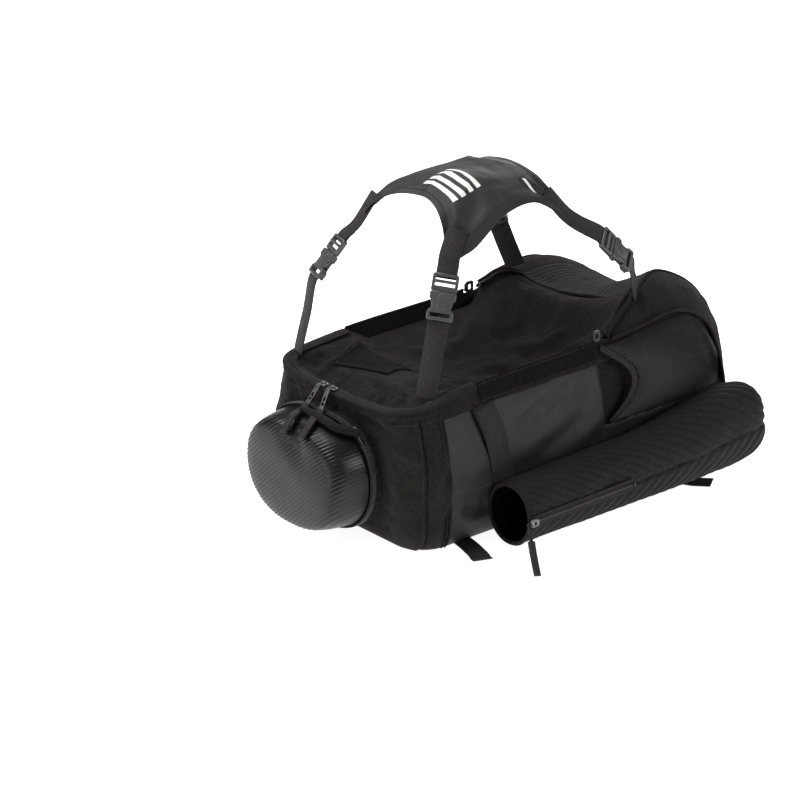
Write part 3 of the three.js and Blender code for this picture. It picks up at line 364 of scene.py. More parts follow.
    def make(self, name, materials, replaces=(), slot=None, angle=50, body="root"):
        verts, uv = np.vstack(self.verts), np.vstack(self.uvs)
        mesh = bpy.data.meshes.new(name)
        mesh.vertices.add(len(verts))
        mesh.vertices.foreach_set("co", (verts * MM).ravel())
        corners = np.concatenate([f.ravel() for f in self.faces])
        sizes = np.concatenate([np.full(len(f), f.shape[1]) for f in self.faces])
        mesh.loops.add(len(corners))
        mesh.loops.foreach_set("vertex_index", corners)
        mesh.polygons.add(len(sizes))
        mesh.polygons.foreach_set("loop_start", np.concatenate([[0], np.cumsum(sizes)[:-1]]))
        mesh.polygons.foreach_set("material_index", np.concatenate(self.kinds).astype(int))
        mesh.update(calc_edges=True)
        layer = mesh.uv_layers.new(name="cloth")
        layer.data.foreach_set("uv", uv[corners].ravel())
        mesh.polygons.foreach_set("use_smooth", np.ones(len(sizes), bool))
        mesh.set_sharp_from_angle(angle=math.radians(angle))
        for m in materials if isinstance(materials, (list, tuple)) else [materials]:
            mesh.materials.append(m)
        made = bpy.data.objects.new(name, mesh)
        scene.collection.objects.link(made)
        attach(made, body)
        if replaces:
            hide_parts(*replaces)
        return made


def transported(line, closed=False):
    tangent = unit(np.roll(line, -1, 0) - np.roll(line, 1, 0)) if closed else unit(np.gradient(line, axis=0))
    start = np.array([0, 0, 1.]) if abs(tangent[0][2]) < .9 else np.array([1., 0, 0])
    across = []
    for t in tangent:
        start = unit(start - t * (start @ t))
        across.append(start)
    across = np.array(across)
    return across, np.cross(tangent, across)


def spaced(line, pitch, up=(0, 0, 1)):
    """Points an even distance apart along a line, with the line's direction and an up at each."""
    line = np.asarray(line, float)
    along = np.concatenate([[0], np.cumsum(np.linalg.norm(np.diff(line, axis=0), axis=1))])
    at = np.arange(pitch / 2, along[-1], pitch)
    points = np.stack([np.interp(at, along, line[:, k]) for k in range(3)], -1)
    ups = np.broadcast_to(np.asarray(up, float), line.shape)
    ups = np.stack([np.interp(at, along, ups[:, k]) for k in range(3)], -1)
    tangent = unit(np.gradient(points, axis=0))
    return points, tangent, unit(ups - tangent * np.sum(ups * tangent, -1, keepdims=True))


def spline(points, count):
    """A smooth line through points, as the solids' straps have."""
    p = np.array(points, float)
    p = np.vstack([2 * p[0] - p[1], p, 2 * p[-1] - p[-2]])
    out = []
    for t in np.linspace(0, len(points) - 1, count):
        i = min(int(t), len(points) - 2)
        a, b, c, d = p[i:i + 4]
        ka, kb, kc = (max(np.linalg.norm(q) ** .5, 1e-6) for q in (b - a, c - b, d - c))
        start = ((b - a) / ka - (c - a) / (ka + kb) + (c - b) / kb) * kb
        end = ((c - b) / kb - (d - b) / (kb + kc) + (d - c) / kc) * kb
        s = t - i
        out.append(b * (2 * s**3 - 3 * s**2 + 1) + start * (s**3 - 2 * s**2 + s) + c * (3 * s**2 - 2 * s**3)
                   + end * (s**3 - s**2))
    return np.array(out)


def mesh_grid(columns, rows, u=(0, 1), v=(0, 1)):
    return np.meshgrid(np.linspace(*u, columns), np.linspace(*v, rows))


def rounded(length, width, radius, steps=4):
    points = []
    for n, (sx, sy) in enumerate(((1, -1), (1, 1), (-1, 1), (-1, -1))):
        for k in range(steps + 1):
            a = math.pi / 2 * (n - 1 + k / steps)
            points.append((sx * (length / 2 - radius) + radius * math.cos(a),
                           sy * (width / 2 - radius) + radius * math.sin(a)))
    return points


def plate(outlines, thick, bevel, steps=2):
    """Vertices and faces of a flat plate with rounded edges and holes."""
    curve = bpy.data.curves.new("plate", "CURVE")
    curve.dimensions, curve.fill_mode = "2D", "BOTH"
    curve.extrude, curve.bevel_depth = thick / 2 - bevel, bevel
    curve.bevel_resolution, curve.offset = steps, -bevel
    for outline in outlines:
        part = curve.splines.new("POLY")
        part.points.add(len(outline) - 1)
        for point, (x, y) in zip(part.points, outline):
            point.co = (x, y, 0, 1)
        part.use_cyclic_u = True
    holder = bpy.data.objects.new("plate", curve)
    scene.collection.objects.link(holder)
    mesh = bpy.data.meshes.new_from_object(holder.evaluated_get(bpy.context.evaluated_depsgraph_get()))
    verts = np.array([v.co[:] for v in mesh.vertices])
    keys = {}
    index = [keys.setdefault(tuple(np.round(v, 3)), len(keys)) for v in verts]
    verts = np.array(list(keys))
    faces = [[index[i] for i in p.vertices] for p in mesh.polygons]
    faces = [f for f in faces if len(set(f)) == len(f)]
    bpy.data.objects.remove(holder)
    bpy.data.meshes.remove(mesh)
    bpy.data.curves.remove(curve)
    groups = {}
    for f in faces:
        groups.setdefault(len(f), []).append(f)
    return verts, [np.array(g) for g in groups.values()]


def placed(verts, centre, along, normal):
    x = unit(np.asarray(along, float))
    y = unit(np.cross(normal, x))
    z = np.cross(x, y)
    return np.asarray(centre) + verts[:, :1] * x + verts[:, 1:2] * y + verts[:, 2:] * z


# Materials
class Shade:
    """A procedural material and short ways to add nodes to it."""

    def __init__(self, name, colour, rough, **values):
        self.mat = bpy.data.materials.new(name)
        self.mat.use_nodes = True
        self.tree = self.mat.node_tree
        self.bsdf = self.tree.nodes["Principled BSDF"]
        self.mat.diffuse_color = (*colour, 1)
        self.set("Base Color", (*colour, 1))
        self.set("Roughness", rough)
        for key, value in values.items():
            self.set(key.replace("_", " "), value)
        self.uv = self.add("UVMap", uv_map="cloth").outputs[0]
        split = self.add("SeparateXYZ", {"Vector": self.uv})
        self.u, self.v = split.outputs[0], split.outputs[1]
        self.place = self.add("TexCoord").outputs["Object"]
        self.heights = []

    def set(self, key, value):
        socket = self.bsdf.inputs[key]
        if isinstance(value, bpy.types.NodeSocket):
            self.tree.links.new(value, socket)
        else:
            socket.default_value = value

    def add(self, kind, inputs=None, **props):
        node = self.tree.nodes.new("ShaderNode" + kind)
        for key, value in props.items():
            setattr(node, key, value)
        for key, value in (inputs or {}).items():
            if isinstance(value, bpy.types.NodeSocket):
                self.tree.links.new(value, node.inputs[key])
            else:
                node.inputs[key].default_value = value
        return node

    def math(self, operation, a, b=0.0, c=0.0):
        return self.add("Math", {0: a, 1: b, 2: c}, operation=operation).outputs[0]

    def wave(self, at, pitch, phase=0.0):
        """From 0 to 1 and back over one pitch, in millimetres."""
        turn = self.math("MULTIPLY_ADD", at, 2 * math.pi / (pitch * MM), phase)
        return self.math("MULTIPLY_ADD", self.math("SINE", turn), .5, .5)

    def noise(self, scale, detail=3.0, rough=.55, stretch=None):
        at = self.place
        if stretch:
            at = self.add("Mapping", {"Vector": at, "Scale": stretch}).outputs[0]
        values = {"Vector": at, "Scale": scale, "Detail": detail, "Roughness": rough}
        return self.add("TexNoise", values).outputs[0]

    def span(self, value, low, high, to_low=0.0, to_high=1.0):
        return self.add("MapRange", {"Value": value, "From Min": low, "From Max": high, "To Min": to_low,
                                     "To Max": to_high}).outputs[0]

    def blend(self, share, a, b):
        return self.add("Mix", {0: share, 6: (*a, 1) if len(a) == 3 else a, 7: (*b, 1) if len(b) == 3 else b},
                        data_type="RGBA").outputs[2]

    def bump(self, height, distance, strength=1.0):
        self.heights.append((height, distance, strength))

    def done(self):
        normal = None
        for height, distance, strength in self.heights:
            inputs = {"Height": height, "Distance": distance * MM, "Strength": strength}
            if normal:
                inputs["Normal"] = normal
            normal = self.add("Bump", inputs).outputs[0]
        if normal:
            self.set("Normal", normal)
        return self.mat


def tint(colour, factor):
    return tuple(c * factor for c in colour)


def fabric(name, colour, rough, pitch=1.2, weave="plain", depth=.16, vary=.3, fuzz=0.0, **values):
    """Woven or piled cloth: its weave, a fine speckle and slow patches of wear in colour and height, with the
    colour also painted darker in the weave's hollows and lighter on its raised threads, as painted shade.
    """
    s = Shade(name, colour, rough, **values)
    if weave == "plain":
        high = s.math("MULTIPLY", s.wave(s.u, pitch), s.wave(s.v, pitch))
        turned = s.math("MULTIPLY", s.wave(s.u, pitch, math.pi), s.wave(s.v, pitch, math.pi))
        high = s.math("MAXIMUM", high, turned)
    elif weave == "twill":
        high = s.wave(s.math("ADD", s.u, s.v), pitch)
    elif weave == "rib":
        ribs = s.wave(s.u, pitch)
        lines = s.wave(s.v, pitch * 2.2)
        high = s.math("MULTIPLY_ADD", lines, .6, ribs)
    else:
        high = s.noise(2600, 2)
    patchy = s.noise(28, 4, .6)
    fine = s.noise(520, 1, .5)
    # Painted shade: the colour follows the weave's height, darker in its hollows; the slow noise patches are
    # wear.
    weave_shade_and_wear = s.math("MULTIPLY_ADD", high, .2, s.math("MULTIPLY", patchy, .22))
    mixed = s.math("MULTIPLY_ADD", fine, .7, weave_shade_and_wear)
    s.set("Base Color", s.blend(s.span(mixed, .4, .72), tint(colour, 1 - vary), tint(colour, 1 + vary * 1.3)))
    s.set("Roughness", s.span(patchy, .3, .7, rough - .05, rough + .06))
    s.bump(s.noise(160, 3), .35 + fuzz, .6)
    s.bump(fine, .18 + fuzz * .5, .8)
    s.bump(high, depth)
    if fuzz:
        s.bump(s.noise(1500, 3, .8), fuzz, .9)
    return s.done()


def plastic(name, colour, rough, grain=.03, **values):
    s = Shade(name, colour, rough, **values)
    cloud = s.noise(60, 4)
    s.set("Base Color", s.blend(s.span(cloud, .3, .7), tint(colour, .85), tint(colour, 1.2)))
    s.set("Roughness", s.span(s.noise(220, 3), .3, .7, rough - .05, rough + .07))
    s.bump(s.noise(1800, 2), grain, .6)
    return s.done()


def coated_cloth(name, colour, rough, **values):
    s = Shade(name, colour, rough, **values)
    cloud = s.noise(22, 4)
    weave = s.math("MULTIPLY", s.wave(s.u, 1.5), s.wave(s.v, 1.5))
    s.set("Base Color", s.blend(s.span(cloud, .3, .7), tint(colour, .86), tint(colour, 1.16)))
    s.set("Roughness", s.span(s.noise(90, 4, .6), .3, .7, rough - .06, rough + .08))
    s.bump(s.noise(110, 3), .35, .5)
    s.bump(weave, .05, .7)
    s.bump(s.noise(1300, 2), .05, .7)
    return s.done()


def carbon_shell(name, colour, rough, **values):
    """Moulded ribs that run aslant, each crossed by finer ticks; the colour is painted lighter on the rib
    crests and darker in the grooves, as painted highlight and painted shade.
    """
    s = Shade(name, colour, rough, **values)
    ribs = s.wave(s.u, RIB_PITCH)
    ticks = s.wave(s.v, RIB_PITCH / 2)
    high = s.math("MULTIPLY_ADD", ticks, .22, ribs)
    cloud = s.noise(40, 3)
    # Painted highlight and shade: the colour follows the rib and tick height, lighter on crests, darker in
    # grooves.
    s.set("Base Color", s.blend(s.span(high, 0, 1.1), tint(colour, .5), tint(colour, 1.6)))
    s.set("Roughness", s.span(s.math("MULTIPLY_ADD", ribs, -.4, cloud), .1, .7, rough - .05, rough + .1))
    s.bump(high, .12)
    s.bump(s.noise(900, 2), .03, .6)
    return s.done()


cloth = fabric("cloth_black", (.0088, .0068, .007), .88, 1.1, depth=.2, vary=.75, fuzz=.1, Sheen_Weight=.02,
               Sheen_Roughness=.5, Specular_IOR_Level=.2)
coated = coated_cloth("cloth_coated", (.0165, .0158, .0172), .56, Specular_IOR_Level=.3)
webbing = fabric("webbing_black", (.0095, .0082, .0084), .7, 1.6, "rib", .35, .7, Sheen_Weight=.02,
                 Specular_IOR_Level=.34)
loops = fabric("loop_pile", (.003, .0024, .0026), .95, 1, "pile", .6, .9, .7, Sheen_Weight=.03,
               Sheen_Roughness=.6, Specular_IOR_Level=.12)
mesh_cloth = fabric("air_mesh", (.0085, .0078, .0084), .85, 2.2, depth=.35, vary=.6, fuzz=.05,
                    Sheen_Weight=.03, Specular_IOR_Level=.28)
net_thread = fabric("net_thread", (.02, .019, .02), .6, .8, "twill", .05, Specular_IOR_Level=.5)
knit = fabric("sleeve_knit", (.0088, .0078, .0083), .74, 1.0, depth=.12, vary=.55, fuzz=.05, Sheen_Weight=.02,
              Specular_IOR_Level=.2)
flap_cloth = fabric("flap_cloth", (.0125, .0122, .0132), .56, .9, depth=.06, vary=.16, Sheen_Weight=.02,
                    Specular_IOR_Level=.34)
tape = fabric("zip_tape", (.0085, .0072, .0075), .8, .9, "rib", .14, .6, Specular_IOR_Level=.28)
thread = fabric("thread", (.022, .02, .0205), .6, .5, "twill", .05, Specular_IOR_Level=.4)
coil = plastic("zip_coil", (.11, .105, .105), .3)
dark_coil = plastic("zip_coil_dark", (.035, .033, .033), .35)
ring_black = plastic("ring_black", (.012, .012, .012), .4, Specular_IOR_Level=.4)
# The buckles' grey is partly the plastic's own and partly raised lighter as a painted highlight for their
# glossy faces.
hardware = plastic("hardware", (.05, .05, .051), .34, Specular_IOR_Level=.8)
moulded = carbon_shell("moulded_shell", (.0026, .0021, .0022), .4, Coat_Weight=.03, Coat_Roughness=.2,
                       Specular_IOR_Level=.3)
print_white = fabric("white_print", (.72, .72, .71), .7, .9, depth=.05, vary=.06)
lining = fabric("lining", (.0012, .0012, .0012), .95, .8, depth=.06, Specular_IOR_Level=.05)


def metal_material():
    s = Shade("metal_grey", (.11, .11, .115), .34, Metallic=.85)
    s.set("Base Color", s.blend(s.span(s.noise(260, 4), .35, .7), (.09, .09, .095), (.2, .2, .205)))
    s.set("Roughness", s.span(s.noise(400, 3), .3, .7, .28, .46))
    s.bump(s.noise(1500, 2), .03, .6)
    return s.done()


metal = metal_material()


# Camera, floor and light
CAMERA_AWAY, FOCAL_PX, PICTURE_PX, SENSOR = 3.68489, 3084.06, 800, 36
target = Vector((-.16155, .01005, .13087))
back = Vector((-.6008, -.7037, .3793)).normalized()
lens = bpy.data.cameras.new("camera")
camera = bpy.data.objects.new("camera", lens)
scene.collection.objects.link(camera)
camera.location = target + back * CAMERA_AWAY
camera.rotation_mode = "QUATERNION"
camera.rotation_quaternion = back.to_track_quat("Z", "Y")
lens.sensor_width, lens.lens, lens.clip_end = SENSOR, FOCAL_PX * SENSOR / PICTURE_PX, 30
scene.camera = camera

bpy.ops.mesh.primitive_plane_add(size=14, location=(0, 0, -.0004))
floor = bpy.context.object
floor.name = "floor"
paper = Shade("floor_paper", (.86, .86, .86), .8, Specular_IOR_Level=.2, Emission_Strength=.92)
paper.set("Emission Color", (1, 1, 1, 1))
paper.set("Base Color", paper.blend(paper.noise(3, 2), (.84, .84, .84), (.88, .88, .88)))
floor.data.materials.append(paper.done())

world = bpy.data.worlds.new("studio")
scene.world = world
world.use_nodes = True
world.node_tree.nodes["Background"].inputs[0].default_value = (1, 1, 1, 1)
world.node_tree.nodes["Background"].inputs[1].default_value = .17
scene.view_settings.view_transform = "Standard"


def lamp(name, location, target, size, power):
    light = bpy.data.lights.new(name, "AREA")
    light.shape, light.size, light.size_y, light.energy = "RECTANGLE", size[0], size[1], power
    holder = bpy.data.objects.new(name, light)
    scene.collection.objects.link(holder)
    holder.location = location
    holder.rotation_mode = "QUATERNION"
    holder.rotation_quaternion = (Vector(location) - Vector(target)).to_track_quat("Z", "Y")


lamp("over", (-.5, .7, 2.3), (-.05, 0, .1), (1.5, 1.2), 52)
lamp("left", (-2.4, .9, 1.1), (-.1, 0, .15), (.8, 1.4), 23)
lamp("front", (.9, -2.4, 1.5), (0, 0, .12), (1.0, 1.0), 29)
lamp("rim", (1.9, 1.5, 1.3), (0, 0, .15), (.9, .9), 17)


# Body panels
def toward(x, y, degrees):
    a = math.radians(degrees)
    return x * math.cos(a) + y * math.sin(a), y * math.cos(a) - x * math.sin(a)


SIDE_FOLDS = [
    ([(-124, 96), (-67, 112), (-20, 136), (14, 158)], 15, 3.2),
    ([(-126, 122), (-75, 134), (-35, 150), (-6, 168)], 11, -3.6),
    ([(-110, 150), (-70, 158), (-40, 170)], 13, 2.2), ([(-85, 84), (-30, 98), (12, 122)], 11, -3.2),
    ([(-70, 66), (0, 86), (34, 116)], 13, 2.6), ([(-206, 152), (-180, 122), (-156, 82)], 17, 3.4),
    ([(-169, 178), (-162, 150), (-150, 110), (-142, 76)], 5.0, -6.5),
    ([(-196, 58), (-170, 42), (-150, 46)], 10, -2.4),
    ([(-206, 38), (-180, 30), (-160, 26)], 10, 2.2),
]


def side_relief(x, z, side):
    """How far the side panel's cloth stands off its mean surface: dents, seams and folds."""
    a, b = toward(x, z, 28)
    room = ease((z - 12) / 30) * ease((RIM_Z * 1.04 - z) / 22)
    big = 1.5 * fbm(a / 95, b / 40, 3 + side, 2) + .35 * fbm(a / 34, b / 17, 9 + side, 2)
    flat = stack(x, 0 * x, z)
    own = folds(flat, [([(p, 0, q) for p, q in line], w, h) for line, w, h in SIDE_FOLDS])
    left = ease((-132 - x) / 4)
    seam = left * (1.2 * ease((z - 70.5) / 1.2) * np.exp(-((z - 70) / 26) ** 2)
                   - 1.2 * np.exp(-((z - 69) / 1.4) ** 2))
    pocket = -5.5 * ease((x - 30) / 7) * ease((z - 88) / 12)
    hem_at = rim_z(x) * (1 - .125)
    hem = (1.7 * ease((z - hem_at) / 1.6) * ease((x + 205) / 6)
           - 1.2 * np.exp(-((z - hem_at + 1.2) / 1.3) ** 2))
    return (big + own) * room + seam + (pocket + hem) * (x > -212)


def side_point(x, z, side, rise=0.0):
    return stack(x, side * (half_width(x, z) + side_relief(x, z, side) + rise), z)


def side_top(u):
    x0 = lerp(-SEAM_X, float(piping(0.)[0]), u / .62)
    p = piping(np.clip(.82 * (u - .62) / .38, 0, 1))
    return np.where(u < .62, x0, p[..., 0]), np.where(u < .62, rim_z(x0), p[..., 2])


def side_place(u, v):
    x_top, z_top = side_top(u)
    x = lerp(lerp(-SEAM_X, float(piping(1.)[0]), u), x_top, v) - .8 * u
    return x, lerp(3.4, z_top - .4, v)


END_FOLDS = [
    ([(-262, -102, 134), (-256, -116, 127), (-246, -134, 118)], 7, 4.2),
    ([(-263, -98, 112), (-258, -112, 104), (-250, -127, 108)], 6, -4.0),
    ([(-262, -104, 96), (-260, -108, 74), (-262, -98, 48)], 8, 4.4),
    ([(-252, -124, 96), (-248, -130, 66), (-252, -124, 34)], 8, -3.6),
    ([(-240, -136, 150), (-236, -136, 110), (-238, -136, 50)], 6, 2.6),
    ([(-264, -60, 168), (-264, -84, 160), (-255, -116, 152)], 6, 3.6),
    ([(-264, -30, 160), (-264, -70, 152), (-258, -108, 142)], 6, -3.4),
    ([(-262, 106, 150), (-264, 90, 158), (-264, 60, 160)], 7, 3.2),
    ([(-262, 112, 120), (-258, 118, 80)], 8, 3.0),
]
SLIT = 31.6


def end_relief(P):
    x, y, z = P[..., 0], P[..., 1], P[..., 2]
    on_case = ease((101 - np.hypot(y - 12, (z - 79) * 1.25)) / 14) * (x < -255)
    around = np.where(x > -250, x, y * .9)
    soft = (1.6 * fbm(around / 42, z / 55, 21) + 1.2 * fbm(around / 15, z / 38, 25, 2)
            + .5 * fbm(around / 7, z / 9, 29, 2))
    loose = ease((z - 8) / 20)
    return ((soft + folds(P, END_FOLDS)) * (1 - on_case)) * loose * ease((rim_around(x, y) - z) / 9 + .1)


trim = Soup()
U, V = mesh_grid(420, 84)
flat = end_outline(U, BELLY_Z + 0 * U, SEAM_X + .4)
P = end_outline(U, lerp(3.4, rim_around(flat[..., 0], flat[..., 1]) - .4, V), SEAM_X + .4)
N = normals(P)
N = N if np.sum(N * (P - np.array((0, 0, 100)))) > 0 else -N
run = np.concatenate([np.zeros((84, 1)), np.cumsum(np.linalg.norm(np.diff(P, axis=1), axis=-1), 1)], 1)
for way in (run, run[:, -1:] - run):
    open_ = ease((178 - P[..., 2]) / 6)
    lip = 1.9 * ease((way - SLIT) / 1.4) * np.exp(-np.maximum(way - SLIT, 0) / 9)
    slit = lip - 2.6 * np.exp(-((way - SLIT + .6) / 1.5) ** 2)
    P = P + N * (open_ * slit)[..., None]
P = P + N * end_relief(P)[..., None]
panel = Soup()
panel.slab(P, 1.8)
panel.make("top_end_panel_cloth", cloth, ["top_end_panel"], "cloth")
trim.stitches(P[76] + N[76] * .95, N[76])
k = np.argmin(np.abs(run[40] - SLIT - 4))
trim.stitches(P[4:74, k] + N[4:74, k] * .95, N[4:74, k])
hem = Soup()
U, V = mesh_grid(420, 10)
spot = end_outline(U, BELLY_Z + 0 * U, SEAM_X + .4)
rim = rim_around(spot[..., 0], spot[..., 1])
Q = end_outline(U, rim - .4 - 9.5 * V, SEAM_X + .4)
M = normals(Q)
M = M if np.sum(M * (Q - np.array((0, 0, 100)))) > 0 else -M
hem.slab(Q + M * (2.4 + .5 * np.sin(V * math.pi) + .5 * fbm(U * 40, V, 27, 2))[..., None], 1.4)
hem.make("rim_hem_cloth", cloth, slot="cloth")

for name, side in (("near", -1), ("far", 1)):
    U, V = mesh_grid(240, 96)
    x, z = side_place(U, V)
    P = side_point(x, z, side)
    in_pocket = (x > 36) & (z > RIM_Z * .47) & (x < BOTTOM * .9)
    kinds = np.where((x > BOTTOM * .86) | in_pocket | (z > rim_z(x) * (1 - .125)), 1, 0)
    panel = Soup()
    panel.slab(P, 2, kinds=kinds)
    panel.make(f"side_panel_{name}_cloth", [coated, cloth], [f"side_panel_{name}"], "coated")

    s, v = np.meshgrid(np.linspace(.012, 1, 110), np.linspace(0, 1, 22))
    outer, inner = piping(s), crest(s, side)
    edge = 1.84 / np.linalg.norm(outer - inner, axis=-1)
    share = lerp(edge, 1 - edge, v)
    bulge = 7 * np.sin(math.pi * share) * ease(3 * (s - .012))
    P = lerp(outer, inner, share[..., None]) + bulge[..., None] * np.array((.6, .5, .6))
    wrinkle = fbm(P[..., 0] / 26, P[..., 2] / 26, 31 + side) + .7 * ridges(s * 14, v * 1.4, 5)
    wrinkle = wrinkle * np.sin(math.pi * v)
    P = P + wrinkle[..., None] * np.array((.6, .5, .6))
    P[..., 1] *= side
    panel = Soup()
    panel.slab(P, 1.8)
    panel.make(f"gusset_{name}_cloth", cloth, [f"gusset_{name}"], "cloth")
    trim.stitches(P[-3] + np.array((.4, side * .3, .8)), (0, side * .4, .9))

s, v = np.meshgrid(np.linspace(.19, 1, 110), np.linspace(0, 1, 270))
reach = 2 * v - 1
c = lerp(crest(s, -1), crest(s, 1), v[..., None])
turn = ease((s - .42) / .4) * math.pi / 2
rib_at = reach * HUMP_HALF / HUMP_RIB_PITCH
rib = 1.2 * np.abs(np.sin(math.pi * rib_at)) ** .7
dip = 22 * read(CREST, 4, s) * (1 - reach**2) - 2.0 * fbm(s * 6, reach * 2.2, 41) * (1 - reach**4)
half = c[..., 1] - .8
P = stack(c[..., 0] - dip * np.sin(turn), reach * half, c[..., 2] - dip * np.cos(turn))
N = normals(P)
N = N if np.sum(N[..., 2]) > 0 else -N
P = P + N * (rib * ease((1 - np.abs(reach)) * 14))[..., None]
hump = Soup()
hump.slab(P, 3)
hump.make("front_panel_lower_mesh", mesh_cloth, ["front_panel_lower"], "ribbed")

cords = Soup()
for side in (-1, 1):
    line = piping(np.linspace(0, 1, 90)) * np.array((1, side, 1))
    outward = unit(np.stack([.3 + 0 * line[:, 0], side + 0 * line[:, 0], .3 + 0 * line[:, 0]], -1))
    cords.tube(line + outward * 1.6, 2.1, 8)
    line = crest(np.linspace(.02, 1, 90), side) * np.array((1, side, 1))
    cords.tube(line + np.array((.5, side * .3, .9)), 1.5, 6)
    for shift, radius in ((0, 1.9), (5, 1.4)):
        z = np.linspace(4, rim_z(-SEAM_X) - 1, 50)
        x = -SEAM_X - shift + 0 * z
        cords.tube(side_point(x, z, side, 1.2), radius, 8)


# Upper front panel
def panel_edge(x, side):
    first = float(crest(0., side)[0])
    share = (x - first) / (float(crest(.18, side)[0]) - first)
    slit = ease((x / TOP + .585) / .1) * (1 - ease((x / TOP - .219 + .1) / .1))
    corner = TOP - CORNER + x
    rounding = np.where(corner < 0, CORNER - np.sqrt(np.maximum(CORNER**2 - corner**2, 0)), 0)
    c = crest(.18 * np.clip(share, 0, 1), side)
    mix = np.where(share > 0, 1, ease(1 + 4 * share))
    half = lerp(RIM_HALF, c[..., 1], mix) - rounding - 3 - slit * 8
    return half, lerp(rim_z(x), c[..., 2], mix) - 1.6 - slit * 12


UPPER_FOLDS = [
    ([(-255, 60), (-215, 66), (-170, 84), (-120, 92)], 6, 4.6),
    ([(-258, 20), (-232, 30), (-222, 60)], 7, 4.0),
    ([(-246, -84), (-222, -62), (-205, -30)], 7, 7.0), ([(-250, -60), (-228, -40), (-215, 0)], 6, -6.0),
    ([(-225, -95), (-190, -78), (-150, -84)], 7, 6.5), ([(-215, -80), (-180, -58), (-140, -62)], 7, -6.0),
    ([(-200, -50), (-160, -40), (-110, -60)], 10, 6.0), ([(-150, 0), (-130, -25), (-125, -66)], 9, 5.0),
    ([(-136, 30), (-110, 0), (-96, -46)], 9, -6.0), ([(60, -90), (20, -60), (-20, -50)], 10, 6.5),
    ([(80, -40), (40, -20), (10, 20)], 11, 6.5), ([(90, 40), (50, 30), (20, 50)], 11, -6.0),
    ([(-100, 70), (-60, 50), (-20, 60), (20, 84)], 9, 5.0), ([(-60, 0), (-20, -14), (20, -10)], 11, 4.0),
    ([(-90, -84), (-50, -76), (0, -88)], 8, 5.0),
]


def hump_start(across):
    """Height of the hump's first row, which the upper panel takes on at its end."""
    c = lerp(crest(.19, -1), crest(.19, 1), across[..., None])
    return c[..., 2] - 22 * float(read(CREST, 4, .19)) * (1 - (2 * across - 1) ** 2)


def upper_z(x, y):
    near_half, near_z = panel_edge(x, -1)
    edge_z = np.where(y > 0, panel_edge(x, 1)[1], near_z)
    settle = 18 * ease((x / TOP - .15) / .23)
    middle = RIM_Z - SAG * read(SAG_LINE, 1, x / TOP) - settle
    r = np.clip(np.abs(y) / near_half, 0, 1)
    base = lerp(middle, edge_z, r**2.4) + rim_around(x, y) - rim_z(x)
    end = float(crest(.18, -1)[0]) - 1.2
    join = ease(1 - (end - x) / 45)
    base = lerp(base, hump_start(np.clip((y / near_half + 1) / 2, 0, 1)), join)
    flat = stack(x, y, 0 * x)
    own = folds(flat, [([(p, q, 0) for p, q in line], w, h) for line, w, h in UPPER_FOLDS])
    loose = 3.4 * fbm(x / 60, y / 45, 51, 2) + 1.9 * fbm(x / 22, y / 22, 55, 3)
    calm = 1 - .8 * np.exp(-((x + 179) / 44) ** 2 - ((y - 40) / 44) ** 2)
    return base + (own + loose * calm) * ease((1 - r) * 6) * ease((x + TOP) / 14) * ease((end - x) / 12)


def upper_patch(x, y, rise):
    return stack(x, y, upper_z(x, y) + rise)


U, V = mesh_grid(250, 160)
x = lerp(-TOP + 3, float(crest(.18, -1)[0]) - 1.2, U**1.1)
P = upper_patch(x, (2 * V - 1) * panel_edge(x, -1)[0], 0)
panel = Soup()
panel.slab(P, 1.8, inside=(0, 0, 0))
upper = panel.make("front_panel_upper_cloth", cloth, ["front_panel_upper"], "cloth")

U, V = mesh_grid(90, 92, (-.5, .5), (-.5, .5))
turned = .42
a, b = U * 70, V * 72
x = -TOP + 86 + a * math.cos(turned) - b * math.sin(turned)
y = 40 + a * math.sin(turned) + b * math.cos(turned)
pile = .55 * np.abs(noise(a / 1.3, b / 1.3, 3)) + .35 * noise(a / .8, b / .8, 6)
border = ease((.5 - np.maximum(np.abs(U), np.abs(V))) * 30)
patch = Soup()
P = upper_patch(x, y, 2.2 + (pile + .4) * border)
patch.slab(P, 1.4, inside=(0, 0, 0))
patch.make("loop_patch_pile", loops, ["loop_patch"], "webbing")
edge = np.vstack([P[4, 4:-4], P[4:-4, -5], P[-5, 4:-4][::-1], P[4:-4, 4][::-1]])
trim.stitches(edge + np.array((0, 0, .9)), (0, 0, 1))

# Rim zip
u = np.linspace(0, 1, 700)
zip_ = Soup()
U, V = mesh_grid(400, 22)
inward = lerp(-4.5, 11.5, V)
welt = (.9 * np.exp(-((V - .06) / .05) ** 2) + 1.1 * np.exp(-((V - .3) / .07) ** 2)
        + 1.1 * np.exp(-((V - .62) / .07) ** 2))
droop = -2.5 * ease((.1 - V) / .1)
zip_.slab(rim_point(U, inward, 1.5 + welt + droop + .5 * noise(U * 60, V * 2, 8)), 1.4, inside=(0, 0, 0))
zip_.make("main_zip_tape", tape, ["main_zip"], "zip")
teeth = Soup()
line = rim_point(u, 2.9, 3.1)
points, tangents, ups = spaced(line, 3.0)
for way in (-1, 1):
    aside = np.cross(ups, tangents)
    teeth.boxes(points + aside * 1.5 * way + tangents * .5 * way, tangents, aside, ups, (1.5, 2.4, 1.7))
teeth.make("main_zip_coil", dark_coil)
cords.tube(rim_point(u[::2], -4.2, .6), 1.5, 7)
cords.tube(rim_point(u[::2], 11, 1.6), 1.2, 6)

